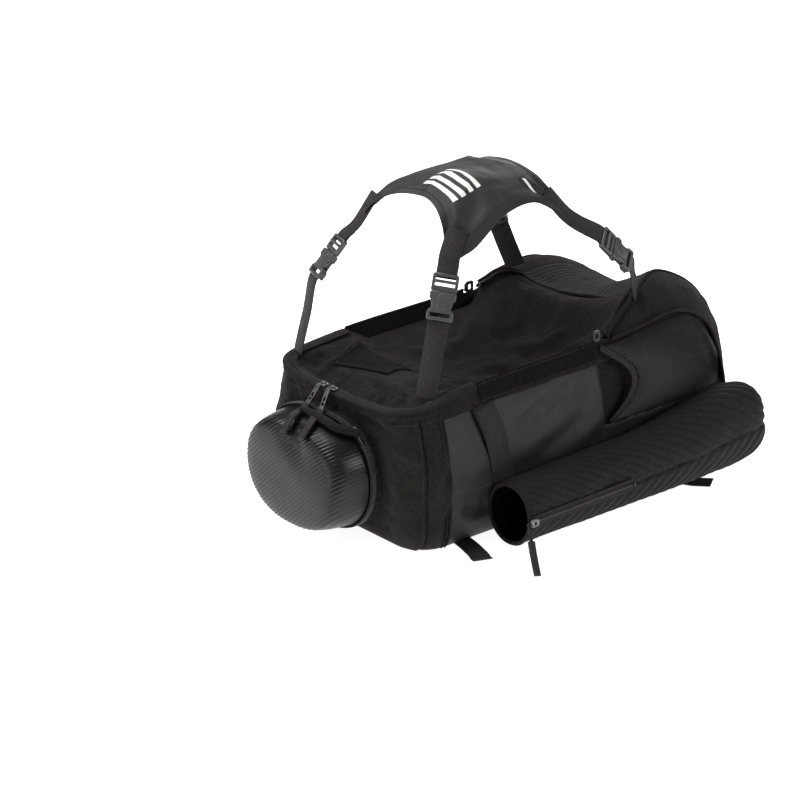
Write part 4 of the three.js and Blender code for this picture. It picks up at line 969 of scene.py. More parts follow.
# The zip goes on between the gusset and the upper panel, up to the strap's base
for name, side in (("near", -1), ("far", 1)):
    s = np.linspace(.012, .2, 40)
    outer, inner = piping(s), crest(s, side)
    over = unit(outer - inner)
    line = inner - over * 3.2 + np.array((0, 0, -1.2))
    lead = line[0] + np.linspace(1, .1, 8)[:, None] * np.array((-12, 3, -5))
    line = np.vstack([lead, line]) * np.array((1, side, 1))
    soup = Soup()
    soup.web(line, np.vstack([np.tile(over[0], (8, 1)), over]) * np.array((1, side, 1)), 15, 2.0)
    soup.make(f"gusset_zip_{name}_tape", tape, slot="zip")
    soup = Soup()
    points, tangents, ups = spaced(line + np.array((0, side * .6, 1.8)), 3.0, (0, side * .4, .9))
    soup.boxes(points, tangents, np.cross(ups, tangents), ups, (1.6, 4.6, 1.8))
    soup.make(f"gusset_zip_{name}_coil", dark_coil)
    cords.tube(line + np.array((1.5, side * 4.5, 3.0)), 2.0, 8)

# Grip bands and their rings
for name, side in (("near", -1), ("far", 1)):
    U, V = mesh_grid(240, 34)
    x = lerp(-155, 35, U)
    z = rim_z(x) + 4 - 22 * V
    inner = ease((.5 - np.abs(V - .5)) * 14) * ease((.5 - np.abs(U - .5)) * 90)
    pile = (.8 * np.abs(noise(x / 1.5, z / 1.5, 71)) + .4 * noise(x / .8, z / .8, 72)) * inner
    bow = 1.6 * np.sin(math.pi * U * 2.2) * np.sin(math.pi * V)
    soup = Soup()
    out = half_width(x, z) + 2.9 + side_relief(x, z, side) * ease(V * 2) * .8 + pile + bow * .4
    P = stack(x, side * out, z)
    soup.slab(P, 2.4)
    soup.make(f"grip_band_{name}_pile", loops, [f"grip_band_{name}"], "webbing")
    for row in (3, -4):
        trim.stitches(P[row] + np.array((0, side * 1.2, 0)), (0, side, .05))
    ring = Soup()
    verts, faces = plate([rounded(12, 15, 3), rounded(5, 7, 1.2)], 2.6, .7)
    x = 35 + 6.4
    z = float(rim_z(x)) + 6.5
    ring.add(placed(verts, (x, side * (float(half_width(x, z)) + .4), z), (1, 0, 0), (0, side, 0)), faces)
    bar_y = side * (float(half_width(x, z)) + 1.8)
    ring.tube([(x - 6, bar_y, z - 5), (x - 6, bar_y, z + 5)], 1.1, 8)
    ring.make(f"band_ring_{name}_moulded", ring_black, [f"band_ring_{name}"], "hardware")


# Hard case
CASE_Y, CASE_Z, CASE_WIDE, CASE_TALL, CASE_DEEP, CASE_REACH = 12, 79, 91, 68, 72, 19.1


def case_outline(u, grow):
    """The case's rounded outline, grown outwards: its y and z."""
    a = 2 * math.pi * u
    c, s = np.cos(a), np.sin(a)
    taper = 1 - .1 * np.maximum(-s, 0)
    return (CASE_Y + np.sign(c) * np.abs(c) ** .8 * (CASE_WIDE + grow) * taper,
            CASE_Z + np.sign(s) * np.abs(s) ** .8 * (CASE_TALL + grow))


def case_ring(u, v, start, depth, grow):
    y, z = case_outline(u, grow)
    return stack(-(TOP + start + depth * v), y, z)


def ring_grid(columns, rows):
    return np.meshgrid(np.arange(columns) / columns, np.linspace(0, 1, rows))


U, V = ring_grid(260, 12)
base = Soup()
crown = np.sin(math.pi * V)
pucker = .7 * np.sin(U * 2 * math.pi * 46 + 2 * np.sin(U * 19)) * crown + 1.4 * crown
base.slab(case_ring(U, V, 1.3, 9, pucker), 2.5, True, (-270, CASE_Y, CASE_Z))
u = np.arange(260) / 260
for start, grow, radius in ((1.6, 1.2, 1.7), (10.0, 1.0, 1.3)):
    base.tube(case_ring(u, 0 * u, start, 0, grow), radius, 8, True)
base.make("case_base_cloth", cloth, ["case_base"], "cloth")
# The rolled hood of cloth over the case's zip
roll = Soup()
u = np.linspace(.235, .385, 110)
swell = np.sin(math.pi * np.linspace(0, 1, 110)) ** .3
forward = 12 + 24 * ease((.375 - u) / .07)
line = case_ring(u, 0 * u, forward, 0, 6.6 + .5 * np.sin(u * 130))
roll.tube(line, 5.2, 16, scale=(.12 + .88 * swell) * (1 + .06 * fbm(u * 60, 0 * u, 19)))
roll.make("case_hood_roll", cloth, slot="cloth")
band = Soup()
U, V = ring_grid(260, 16)
lips = (.9 * np.exp(-((V - .1) / .1) ** 2) + .9 * np.exp(-((V - .9) / .1) ** 2)
        - .5 * np.exp(-((V - .4) / .3) ** 2))
band.slab(case_ring(U, V, 10.7, 8, 1.2 + lips), 2.5, True, (-280, CASE_Y, CASE_Z))
band.make("case_zip_tape", tape, ["case_zip"], "zip")
band = Soup()
u = np.arange(900) / 900
for depth, shift in ((12.4, 0), (15.2, 1.1)):
    points, tangents, ups = spaced(case_ring(u, 0 * u, depth, 0, 2.9), 2.2)
    ups = unit(points - np.array((-279.6, CASE_Y, CASE_Z)))
    band.boxes(points + tangents * shift, tangents, np.array((1., 0, 0)), ups, (1.3, 2.2, 1.7))
band.make("case_zip_coil", coil)


def case_point(u, v, inset):
    """A place on the plain dome, in from its surface."""
    y, z = case_outline(u, 0)
    shrink = read(DOME, 1, v) * (1 - inset / CASE_TALL)
    reach = read(DOME, 2, v) * (CASE_DEEP - CASE_REACH - inset)
    return stack(-(TOP + CASE_REACH + reach), CASE_Y + shrink * (y - CASE_Y), CASE_Z + shrink * (z - CASE_Z))


SHOULDER = [(0, 0, 1), (.3, .41, 1), (.55, .755, .955), (.7, .89, .85), (.8, .948, .62),
            (.88, .98, .34), (1, 1, 0)]
VALLEY = [(-330, 12, 152), (-334, 2, 132), (-336, -14, 118), (-336, -40, 108)]


def case_looks(u, v):
    """The dome with its sharper shoulder, and the valley between its two lobes."""
    y, z = case_outline(u, 0)
    spread_ = read(SHOULDER, 1, v)
    reach = read(SHOULDER, 2, v) * (CASE_DEEP - CASE_REACH)
    P = stack(-(TOP + CASE_REACH + reach), CASE_Y + spread_ * (y - CASE_Y), CASE_Z + spread_ * (z - CASE_Z))
    face = ease((.9 - v) / .2)
    fall = ease((-P[..., 1] + 6) / 80) * ease((P[..., 2] - 60) / 70)
    P[..., 0] += 4 * fall * face
    gap, share = near_line(P, VALLEY)
    deep = 8.5 * lerp(1, .12, ease(share)) * np.exp(-(gap / lerp(15, 24, share)) ** 2) * ease((.97 - v) / .15)
    P[..., 0] += deep
    P[..., 2] -= .5 * deep * ease((P[..., 2] - 120) / 20)
    return P


U, V = ring_grid(440, 110)
V = .02 + .98 * V ** .85
P = case_looks(U, V)
y, z = P[..., 1] - CASE_Y, P[..., 2] - CASE_Z
across_ribs, along_ribs = .65 * y + .76 * z, .76 * y - .65 * z
ribs = .32 * np.sin(2 * math.pi * across_ribs / RIB_PITCH) * ease((.82 - V) / .08)
N = normals(P, True)
N = N if np.sum(N[..., 0]) < 0 else -N
P = P + N * ribs[..., None]
shell = Soup()
down, around = spread_out(110, 8), spread_out(440, 8, True)
inner = case_point(U, V, 3.5)[np.ix_(down, around[:-1])]
inner[-1] = case_point(U[-1], V[-1], 2.5)[around[:-1]]
shell.hollow(P, inner, down, around, stack(across_ribs, along_ribs) * MM)
shell.make("case_shell_moulded", moulded, ["case_shell"], "moulded", 60)


# Sleeves along the sides
MOUTH, CLOSED, CAP_LONG, CAP_SHARE = -152, 247, 42, .3
SLEEVE_Y, SLEEVE_Z, SLEEVE_WIDE, SLEEVE_TALL, SLEEVE_ROUND = 141.4, 6, 38, 50, 265
SQUARENESS = 2 / 2.1
QUILT_PITCH = 17.5


def sleeve_section(x, angle, inset, spread):
    """A place on the sleeve's section at x, in from its surface and shrunk about its middle."""
    share = (x - MOUTH) / (CLOSED - MOUTH)
    wide, tall = SLEEVE_WIDE * read(SLEEVE, 1, share), SLEEVE_TALL * read(SLEEVE, 2, share)
    c, s = np.cos(angle), np.sin(angle)
    y = SLEEVE_Y + wide + spread * (wide - inset) * np.sign(c) * np.abs(c) ** SQUARENESS
    middle = SLEEVE_Z + SLEEVE_TALL * read(SLEEVE, 3, share) + tall
    z = middle + spread * (tall - inset) * np.sign(s) * np.abs(s) ** SQUARENESS
    return stack(x, y, z)


def sleeve_point(u, v, inset):
    cap = np.clip(v / CAP_SHARE, 0, 1)
    spread = np.where(v < CAP_SHARE, read(CAP, 1, cap), 1)
    straight = CLOSED - CAP_LONG
    along = straight - (straight - MOUTH) * (v - CAP_SHARE) / (1 - CAP_SHARE)
    x = np.where(v < CAP_SHARE, CLOSED - CAP_LONG * read(CAP, 2, cap), along)
    return sleeve_section(x - inset * (1 - cap), 2 * math.pi * u, inset, spread)


def sleeve_ribs(x, u):
    """Quilted ribs: chevrons whose points lie along the outer side and face the closed end."""
    turn = (u + .5) % 1 - .5
    arc = turn * SLEEVE_ROUND
    run = x + np.where(turn > 0, 1.2 * arc * (1 + .0022 * arc), -1.0 * arc)
    run = run + 1.2 * noise(x / 40, arc / 30, 91)
    part = (run / QUILT_PITCH) % 1
    top = np.sin(math.pi * part ** .8) ** .6
    sewn = np.exp(-(arc / 2.2) ** 2)
    return 2.7 * top * (1 - .8 * sewn) - .7


for name, side in (("near", -1), ("far", 1)):
    mirror = np.array((1, side, 1))
    U, V = ring_grid(176, 200)
    V = .006 + .994 * V
    P = sleeve_point(U, V, 0)
    N = normals(P, True)
    N = N if np.sum(N * (P - np.array((50, 180, 55)))) > 0 else -N
    x = P[..., 0]
    mouth = ease((x + 151) / 5)
    zipped = np.exp(-(((U + .5) % 1 - .5) * SLEEVE_ROUND / 9) ** 4) * ease((24 - x) / 10)
    lump = 1.6 * fbm(x / 60, U * 7, 93, 2)
    relief = (sleeve_ribs(x, U) * (1 - zipped) + lump) * mouth * ease(V / .1)
    press = ease((P[..., 2] - 9) / 10)
    against = ease((P[..., 1] - 143) / 6)
    P = P + N * (relief * press * against)[..., None]
    soup = Soup()
    down, around = spread_out(200, 8), spread_out(176, 4, True)
    inner = sleeve_point(U, V, 3)[np.ix_(down, around[:-1])]
    soup.hollow(P * mirror, inner * mirror, down, around, stack(U * SLEEVE_ROUND, x) * MM, 0, 1)
    made = soup.make(f"sleeve_{name}_quilted", [knit, lining], [f"sleeve_{name}"], "sleeve_knit", 60)

    U, V = mesh_grid(150, 14)
    x = lerp(-152, 13, U)
    angle = .02 + (V - .5) * 12 / 38
    lips = .8 * np.exp(-((np.abs(V - .5) - .13) / .07) ** 2) - .6 * np.exp(-((V - .5) / .06) ** 2)
    soup = Soup()
    soup.slab(sleeve_section(x, angle, -(1.6 + lips), 1) * mirror, 1.4)
    soup.make(f"sleeve_zip_{name}_tape", tape, [f"sleeve_zip_{name}"], "zip")
    soup = Soup()
    line = sleeve_section(np.linspace(-150, 11, 120), .02, -1.9, 1) * mirror
    soup.stitches(line, (0, side, 0), 1.5, 1.0, 3.0)
    soup.tube(sleeve_section(np.array((11.5, 13.)), .02, -2.4, 1) * mirror, 3.2, 8)
    soup.make(f"sleeve_zip_{name}_coil", dark_coil)
    for at in (.02 - .13, .02 + .15):
        line = sleeve_section(np.linspace(-150, 13, 120), at, -2.5, 1) * mirror
        trim.stitches(line, (0, side, 0))
    line = sleeve_point(np.linspace(0, 1, 120, False), 1 + np.zeros(120), 0)
    cords.tube(line * mirror, 1.9, 8, True)
    # The cord pull at the mouth
    top = sleeve_section(np.array(-152.), .02, 0, 1)
    root = np.array((-155, top[1] + 1.8, top[2]))
    drop = top[2] - 3
    reach = math.sqrt(68**2 - drop**2)
    tip = root + np.array((-.52 * reach, .85 * reach, -drop))
    line = spline([root, lerp(root, tip, .5) + np.array((0, 0, -4)), tip], 40) * mirror
    soup = Soup()
    soup.web(line[12:], (.85, .52 * side, 0), 8.5, 3.4)
    soup.tube(line[:16] + np.array((1.3, 0, 0)), 1.3, 8)
    soup.tube(line[:16] - np.array((1.3, 0, 0)), 1.3, 8)
    soup.make(f"sleeve_pull_{name}_cord", webbing, [f"sleeve_pull_{name}"], "zip")
    soup = Soup()
    verts, faces = plate([rounded(12, 10, 3.5), rounded(3.4, 3, 1)], 4.4, 1.2)
    seat = sleeve_section(np.array(-148.), .02, -4.6, 1) * mirror
    soup.add(placed(verts, seat, (1, 0, 0), (0, side, 0)), faces)
    soup.make(f"sleeve_slider_{name}", metal)

# Net pockets, side webbing
NET_LONG, NET_LEAN = 188, 95


def net_point(u, v):
    """A place on the near net pocket, which swells out from the side."""
    x = lerp(TOP * .175, TOP * .885, u) + 36 * np.sin(math.pi * v) * (1 - u)
    top = rim_z(x) - .03 * RIM_Z - np.maximum(x / BOTTOM - .6, 0) ** 2 * 5.4 * RIM_Z
    z = lerp(.5 * RIM_Z, top, v)
    full = .3 * (1 - u) + .8 * np.maximum(np.sin(math.pi * u), 0) ** .8
    swell = 22 * np.maximum(np.sin(math.pi * v), 0) ** .8 * full
    return stack(x, half_width(x, z) + 2.3 + swell, z)


for name, side in (("near", -1), ("far", 1)):
    mirror = np.array((1, side, 1))
    net = Soup()
    step = 2.9
    count = int((NET_LONG + NET_LEAN) / step)
    for slope in (-1, 1):
        for k in range(count):
            t = np.linspace(0, 1, 24)
            u = (k * step - (NET_LEAN if slope < 0 else 0)) / NET_LONG - slope * (t * NET_LEAN / NET_LONG)
            keep = (u >= 0) & (u <= 1)
            if keep.sum() < 3:
                continue
            line = net_point(u[keep], t[keep]) * mirror
            net.tube(line + np.array((0, side * .12 * slope, 0)), .38, 3)
    made = net.make(f"pocket_net_{name}_mesh", net_thread, [f"pocket_net_{name}"], "net")
    v = np.linspace(0, 1, 90)
    bind = Soup()
    edge = net_point(0 * v, v)
    edge[:, 0] -= 5
    edge[:, 1] += .8
    across = np.broadcast_to(np.array((1., 0, .0)), edge.shape)
    bind.web(edge * mirror, across, 9, 2.4)
    bind.make(f"pocket_binding_{name}_tape", webbing, [f"pocket_binding_{name}"], "webbing")
    trim.stitches((edge + np.array((3, 1.3, 0))) * mirror, (0, side, 0), 3.2, 2.3, .6)
    web = Soup()
    t = np.linspace(0, 1, 60)
    z = RIM_Z * lerp(.3, .86, t)
    x = -TOP * (.5 + .085 * (t - .3))
    P = side_point(x, z, side, 2.2)
    P[:, 0] -= 2
    web.web(P, (1, 0, .1), WEB + 6, 1.6)
    web.make(f"side_webbing_{name}_tape", webbing, [f"side_webbing_{name}"], "webbing")
    for shift in (-13.5, 13.5):
        trim.stitches(P + np.array((shift, side * .8, 0)), (0, side, 0))


# Flap and its printed bars
FLAP_CENTRE, FLAP_LONG, FLAP_WIDE, FLAP_TALL = (-50, 0, 279), 142, 114, 125


def flap_point(u, v, rise):
    """A place on the flap, raised from its mean surface."""
    p, q = 2 * u - 1, 2 * v - 1
    a = lerp(lerp(-.6, -.755, q * q), lerp(.36, .465, q * q), u)
    b = q * read([(-1, .6), (-.6, .72), (0, .7), (.5, .69), (1, .77)], 1, p)
    height = np.sqrt(np.maximum(1 - np.hypot(a, b) ** 2.3, 0))
    out = unit(stack(a / FLAP_LONG, b / FLAP_WIDE, height / FLAP_TALL))
    base_ = stack(FLAP_CENTRE[0] + a * FLAP_LONG, b * FLAP_WIDE, FLAP_CENTRE[2] + height * FLAP_TALL)
    pull = 18 * ease(1 - 1.6 * u) * ease(2 * v - 1)
    rise = np.broadcast_to(rise, np.shape(u))
    return base_ + out * rise[..., None] + pull[..., None] * np.array((-.6, .5, .7))


def cut_corners(u, v, cut=.12):
    """Places on the flap with each corner cut straight, where its strap is sewn on."""
    p, q = 2 * u - 1, 2 * v - 1
    over = np.maximum((np.abs(p) + np.abs(q)) / (2 - cut), 1)
    return (p / over + 1) / 2, (q / over + 1) / 2


def flap_relief(u, v):
    """Wrinkles that run from the four pulled corners, and soft folds between them."""
    total = 0
    for cu, cv, k in ((0, 0, 1.8), (0, 1, 2.2), (1, 0, 1.9), (1, 1, 2.2)):
        du, dv = (u - cu) * 1.15, v - cv
        r = np.hypot(du, dv)
        angle = np.arctan2(np.abs(dv), np.abs(du) + 1e-6)
        wave_ = np.sin(angle * 9 + 2.2 * noise(u * 5, v * 5, 101) + cu + cv * 2)
        total = total + k * wave_ * np.exp(-(r / .34) ** 2) * ease(r / .1)
    soft = 2.4 * ridges(u * 2.4 + v * 1.2, v * 3.2 - u, 103) + 1.2 * fbm(u * 6, v * 6, 107, 2)
    return total + soft * ease(np.minimum(u, 1 - u) * 9) * ease(np.minimum(v, 1 - v) * 9)


U, V = mesh_grid(160, 160)
hem = .7 * (ease((.045 - np.minimum(U, 1 - U)) * 90) + ease((.05 - np.minimum(V, 1 - V)) * 90)).clip(0, 1)
P = flap_point(*cut_corners(U, V), .9 + flap_relief(U, V) + hem)
flap = Soup()
bars = np.zeros(U.shape, int)
BARS = [(.12, .165, .24, .6), (.2, .245, .24, .6), (.28, .325, .24, .6), (.36, .405, .24, .6),
        (.8, .825, .08, .2)]
for u0, u1, v0, v1 in BARS:
    bars[(U > u0) & (U < u1) & (V > v0) & (V < v1)] = 1
flap.slab(P, 1.8, inside=FLAP_CENTRE, kinds=bars)
made_flap = flap.make("helmet_flap_cloth", [flap_cloth, print_white], ["helmet_flap"], "flap_cloth")
for line in (P[8, 6:-6], P[-9, 6:-6], P[6:-6, 8], P[6:-6, -9]):
    out = unit(line - np.array(FLAP_CENTRE))
    trim.stitches(line + out * 1.3, out)


# Buckles and straps
def socket_parts():
    """The half with the windows: two plates, a rounded middle, and a bar for the webbing."""
    half = 16.5
    waist = [(-17, -half + 2), (-15, -half), (-7, -half), (-4.5, -half + 4.5), (6, -half + 4.5),
             (8.5, -half), (15, -half),
             (17, -half + 2)]
    outline = waist + [(x, -y) for x, y in waist[::-1]]
    slot_ = [(-13, -12.8), (-8, -12.8), (-8, 12.8), (-13, 12.8)]
    parts = []
    for z, bevel in ((3.1, 1.0), (-3.1, 1.0)):
        verts, faces = plate([outline, slot_], 2.8, bevel)
        parts.append((verts + np.array((0, 0, z)), faces))
    verts, faces = plate([rounded(18, 12, 3)], 2, .8)
    parts.append((verts + np.array((5, 0, 4.2)), faces))
    for y in (-14.9, 14.9):
        verts, faces = plate([rounded(8.5, 3, 1)], 7.6, .6)
        parts.append((verts + np.array((12.4, y * .99, 0)), faces))
        verts, faces = plate([rounded(9.5, 3, 1)], 7.6, .6)
        parts.append((verts + np.array((-11.6, y * .99, 0)), faces))
    verts, faces = plate([rounded(4, 30, 1.5)], 6.6, .8)
    parts.append((verts + np.array((-5.5, 0, 0)), faces))
    return parts


def plug_parts():
    """The half with two sprung prongs, a middle blade and a ladder for the webbing."""
    body = [(-10.5, -14.5), (-8.5, -16.5), (9.5, -16.5), (10.5, -15),
            (10.5, 15), (9.5, 16.5), (-8.5, 16.5), (-10.5, 14.5)]
    slots = [[(-6.5, -12.8), (-2.5, -12.8), (-2.5, 12.8), (-6.5, 12.8)],
             [(.5, -12.8), (4.5, -12.8), (4.5, 12.8), (.5, 12.8)]]
    parts = [plate([body] + slots, 6.4, 1.1)]
    for y in (-1, 1):
        prong = [(9, y * 7), (24, y * 8.6), (31, y * 7.2), (32, y * 8.4), (29, y * 12.4),
                 (24, y * 13.6), (19.5, y * 14.6),
                 (19, y * 12.4), (9, y * 11.6)]
        parts.append(plate([prong[::y]], 4.4, .8))
    parts.append(plate([[(9, -2.4), (27, -1.8), (28, 0), (27, 1.8), (9, 2.4)]], 3.6, .7))
    verts, faces = plate([rounded(3, 28, 1)], 3, .8)
    parts.append((verts + np.array((-1, 0, 3.6)), faces))
    return parts


SOCKET, PLUG = socket_parts(), plug_parts()
# name, side, end, share of the way at which plug and socket meet, bow, aside, base x, lift
STRAPS = [("a", -1, -1, .76, 1, .9, 222, 2), ("b", 1, -1, .72, 20, .35, 240, 2),
          ("c", -1, 1, .55, 22, 1.4, 0, 2), ("d", 1, 1, .55, 22, .9, 0, 5.4)]


def gusset_at(s, v, side):
    """A place on the gusset, for the base of a strap."""
    along = lerp(.012, 1, s)
    outer, inner = piping(along), crest(along, side)
    edge = 1.84 / np.linalg.norm(outer - inner)
    share = lerp(edge, 1 - edge, v)
    bulge = 7 * math.sin(math.pi * share) * float(ease(3 * s))
    point = lerp(outer, inner, share) + bulge * np.array((.6, .5, .6))
    return point * np.array((1, side, 1))


for name, side, end, plug_at, bow, aside, base_x, lift in STRAPS:
    u, v = .02 if end < 0 else .98, .02 if side < 0 else .98
    tip = flap_point(np.array(u), np.array(v), 1.8 + .8 + .4)
    if end < 0:
        base_at = np.array((-base_x, side * 106, float(rim_z(-base_x)) + 1.2 + 1.9 + lift))
    else:
        base_at = gusset_at(.18, .9, side) + np.array((0, 0, 1.7 + lift))
    reach = tip - base_at
    outward = np.array((end, side * aside, 0.))
    outward = unit(outward - reach * (outward @ reach) / (reach @ reach))
    on = lambda t: lerp(base_at, tip, t) + outward * (4 * bow * t * (1 - t))
    across = unit(np.cross(reach, outward))
    meet = on(plug_at)
    along = unit(on(plug_at + .05) - on(plug_at - .05))
    normal = unit(outward - along * (outward @ along))
    halves = (("socket", SOCKET, meet - along * 17.2, along), ("plug", PLUG, meet + along * 10.7, -along))
    for kind, parts, centre, way in halves:
        soup = Soup()
        for verts, faces in parts:
            soup.add(placed(verts * np.array((1, .93, 1)), centre, way, normal), faces)
        soup.make(f"strap_{name}_{kind}_moulded", hardware, [f"strap_{name}_{kind}"], "hardware", 35)
    low_end, up_start = meet - along * 34.4, meet + along * 21.4
    low = [base_at, lerp(base_at, low_end, .5), low_end - along * 5, low_end + along * 4]
    inner_u, inner_v = np.array(lerp(.5, u, .84)), np.array(lerp(.5, v, .84))
    sewn = flap_point(inner_u, inner_v, 3.2 + flap_relief(inner_u, inner_v))
    up = [up_start - along * 6, up_start + along * 5, lerp(up_start, tip, .6), tip + np.array((0, 0, 2.)),
          sewn]
    for part, route, fold_at in (("lower", low, 1), ("upper", up, -1)):
        soup = Soup()
        line = spline(route, 60)
        ripple = .5 * np.sin(np.linspace(0, 9, 60))[:, None] * outward
        soup.web(line + ripple, across, WEB, 1.6)
        # The doubled end, sewn back on itself
        if part == "upper":
            back_line = line[4:26] - outward * np.linspace(1.9, 1.4, 22)[:, None]
            soup.web(back_line, across, WEB - .6, 1.5)
            trim.stitches(back_line[8:20] - outward * .9, -outward, 3, 2.2, .7)
        soup.make(f"strap_{name}_{part}_tape", webbing, [f"strap_{name}_{part}"], "webbing")
        for shift in (-8, 8):
            seam = line[:12] if part == "lower" else line[-12:]
            trim.stitches(seam + across * shift + outward * .9, outward, 3, 2.2, .7)


# Back panel, its pads and the shoulder straps under it
def pad_grid(outline, columns, rows):
    """Places in a rounded outline, and the share of the pad's full height at each."""
    x0, x1, y0, y1 = outline
    U, V = mesh_grid(columns, rows, (-1, 1), (-1, 1))
    power = 7
    size = (np.abs(U) ** power + np.abs(V) ** power) ** (1 / power)
    scale = np.maximum(np.abs(U), np.abs(V)) / np.maximum(size, 1e-6)
    x = lerp(x0, x1, (U * scale + 1) / 2)
    y = lerp(y0, y1, (V * scale + 1) / 2)
    r = np.maximum(np.abs(U), np.abs(V))
    crown = (1 - np.clip((r - .8) / .2, 0, 1) ** 2.2) ** .5
    return x, y, crown


for name, x0, x1 in (("middle", -120, 120), ("bottom", 134, 220)):
    x, y, crown = pad_grid((x0, x1, -48, 48), 120, 50)
    channel = 1
    for lean in (.5, -.5):
        channel = channel - .55 * np.exp(-((((x + y * lean) / 16) % 1 - .5) / .09) ** 2)
    half = 2.8 * crown
    low_face = 2.8 - half + np.where(crown > .9, 1.1 * (1 - np.clip(channel, 0, 1)), 0)
    soup = Soup()
    rows, columns = x.shape
    soup.add(stack(x, y, 2.8 + half), quads(rows, columns))
    soup.add(stack(x, y, low_face), quads(rows, columns)[:, ::-1])
    made = soup.make(f"back_pad_{name}_mesh", mesh_cloth, [f"back_pad_{name}"], "net")
x, y, crown = pad_grid((-243.2, 247.2, -123.2, 123.2), 100, 56)
soup = Soup()
z = 6.9 + .25 * fbm(x / 30, y / 30, 121)
soup.add(stack(x, y, z + .9 * crown ** .3), quads(*x.shape))
soup.add(stack(x, y, z - .9 * crown ** .3), quads(*x.shape)[:, ::-1])
soup.make("back_panel_cloth", cloth, ["back_panel"], "cloth")

STRAP_ROUTE = [(-.8, .54), (-.68, .64), (-.5, .7), (-.2, .7), (.16, .7)]
TAIL_ROUTE = [(.166, .7), (.24, .72), (.34, .9), (.48, 1.25), (.6, 1.62)]
TOP_TAIL = [(-.68, .94), (-.71, 1.2), (-.76, 1.48)]
for name, side in (("near", -1), ("far", 1)):
    def laid(route, height, count=80):
        return spline([(TOP * x, side * FLOOR_HALF * y, height) for x, y in route], count)
    line = laid(STRAP_ROUTE, 2.9, 120)
    tangent = unit(np.gradient(line, axis=0))
    across = np.stack([-tangent[:, 1], tangent[:, 0], 0 * tangent[:, 0]], -1)
    t = np.linspace(-1, 1, 24)
    taper = ease(np.linspace(0, 1, 120) * 22 + .35) * ease((1 - np.linspace(0, 1, 120)) * 22 + .35)
    crown = (1 - np.abs(t) ** 8) ** .5
    quilt = .5 * np.abs(np.sin(math.pi * np.linspace(0, 17, 120)))[:, None] * (np.abs(t) < .7)
    soup = Soup()
    P = line[:, None] + across[:, None] * (t[:, None] * 28 * taper[:, None, None])
    for way in (1, -1):
        Q = P.copy()
        Q[..., 2] = 2.9 + way * (.4 + 2.1 * crown) * taper[:, None] - (quilt * way if way > 0 else 0)
        face = quads(120, 24)
        soup.add(Q, face[:, ::-1] if way > 0 else face)
    border = np.concatenate([np.arange(24), np.arange(24, 120 * 24, 24) + 23, (120 * 24 - 2 - np.arange(23)),
                             np.arange(120 - 2, 0, -1) * 24])
    strip = np.stack([border, np.roll(border, -1), np.roll(border, -1) + 2880, border + 2880], -1)
    soup.faces.append(strip)
    soup.kinds.append(np.zeros(len(strip)))
    made = soup.make(f"shoulder_strap_{name}_padded", mesh_cloth, [f"shoulder_strap_{name}"], "cloth")
    for kind, route in (("strap_tail", TAIL_ROUTE), ("top_tail", TOP_TAIL)):
        line = laid(route, 1.0)
        tangent = unit(np.gradient(line, axis=0))
        across = np.stack([-tangent[:, 1], tangent[:, 0], 0 * tangent[:, 0]], -1)
        soup = Soup()
        rise = 2.5 * ease(np.linspace(-1.2, 1, 80)) * np.abs(np.sin(np.linspace(0, 7, 80)))
        soup.web(line + np.stack([0 * rise, 0 * rise, rise], -1), across, WEB, 1.6)
        soup.make(f"{kind}_{name}_tape", webbing, [f"{kind}_{name}"], "webbing")


# Zip sliders and their pulls
def slider_parts():
    body = [(-6, -2.6), (-3, -4.4), (3, -4.4), (6, -3), (6, 3), (3, 4.4), (-3, 4.4), (-6, 2.6)]
    parts = [plate([body], 2.2, .7)]
    verts, faces = plate([rounded(8, 2.6, 1.2)], 4.8, 1)
    parts.append((verts + np.array((0, 0, 1.4)), faces))
    return parts


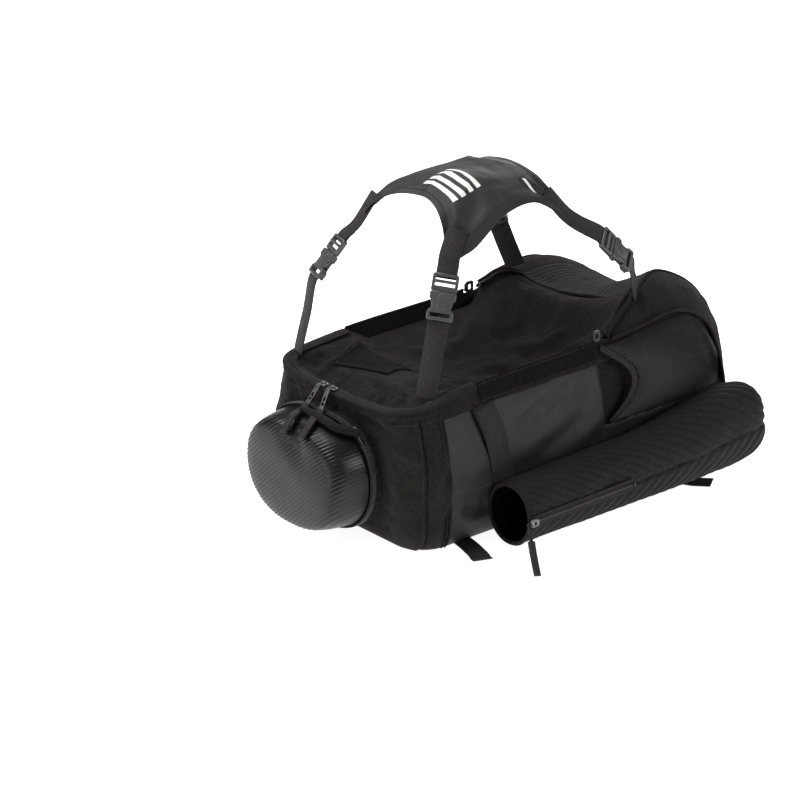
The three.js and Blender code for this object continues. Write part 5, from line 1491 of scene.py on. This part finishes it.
def pull_piece(name, points, across, node, metal_length=15):
    """A flat metal pull from the slider, then a broad woven tab."""
    line = spline(points, 60)
    across = unit(np.asarray(across, float))
    lengths = np.concatenate([[0], np.cumsum(np.linalg.norm(np.diff(line, axis=0), axis=1))])
    cut_at = int(np.searchsorted(lengths, metal_length))
    way = line[cut_at] - line[0]
    soup = Soup()
    eye = [(4, -2), (7.4, -2), (7.4, 2), (4, 2)]
    verts, faces = plate([rounded(metal_length + 3, 7, 2), rounded(5, 3.6, 1), eye], 1.6, .5)
    out = unit(np.cross(way, across))
    out = out if out[2] - out[0] > 0 else -out
    soup.add(placed(verts, (line[0] + line[cut_at]) / 2 + out * .6, way, out), faces, kind=1)
    soup.web(line[cut_at - 1:], across, 10.4, 2.2)
    soup.web(line[cut_at - 1:cut_at + 9], across, 10.8, 3.4)
    made = soup.make(name, [webbing, metal], [node], "zip")
    for shift in (-3.7, 3.7):
        trim.stitches(line[cut_at + 4:-2] + across * shift + out * 1.1, out, 2.6, 1.9, .6)
    return made


parts = slider_parts()
# Where each pull's tab starts, bends over the case's top and ends
TABS = {"far": [(-290, 30, 151), (-318, 19, 151), (-337, 14, 136)],
        "near": [(-283, 9, 152), (-312, -9, 151), (-336, -17, 137)]}
for name, at in (("near", .525), ("far", .565)):
    seat = rim_point(np.array(at), 1, 1.5 + 3.2 + .4 - .7)
    soup = Soup()
    for verts, faces in parts:
        soup.add(placed(verts, seat, (0, 1, 0), (0, 0, 1)), faces)
    soup.make(f"zip_slider_{name}_metal", metal, [f"zip_slider_{name}"], "metal")
    top = seat + np.array((-6.9, 0, 1))
    pull_piece(f"zip_pull_{name}_tab", [top, *map(np.array, TABS[name])], (0, 1, 0), f"zip_pull_{name}", 26)


def case_rim(u, rise):
    return case_ring(np.array(u), .5, 10.7, 8, 1.2 + 1.25 + rise)


seat = case_rim(.345, 2.9)
along = unit(case_rim(.355, 0) - case_rim(.335, 0))
soup = Soup()
for verts, faces in parts:
    soup.add(placed(verts, seat, along, -np.array((0, -along[2], along[1]))), faces)
soup.make("case_slider_metal", metal, ["case_slider"], "metal")
share = 6.8 / (2 * math.pi * CASE_TALL)
route = [case_rim(lerp(.345 + share, .47, t), 2.8) for t in (0, .5, 1)]
pull_piece("case_pull_tab", route, (1, 0, 0), "case_pull")

trim.make("seam_stitching", thread)
cords.make("piping_cord", cloth)
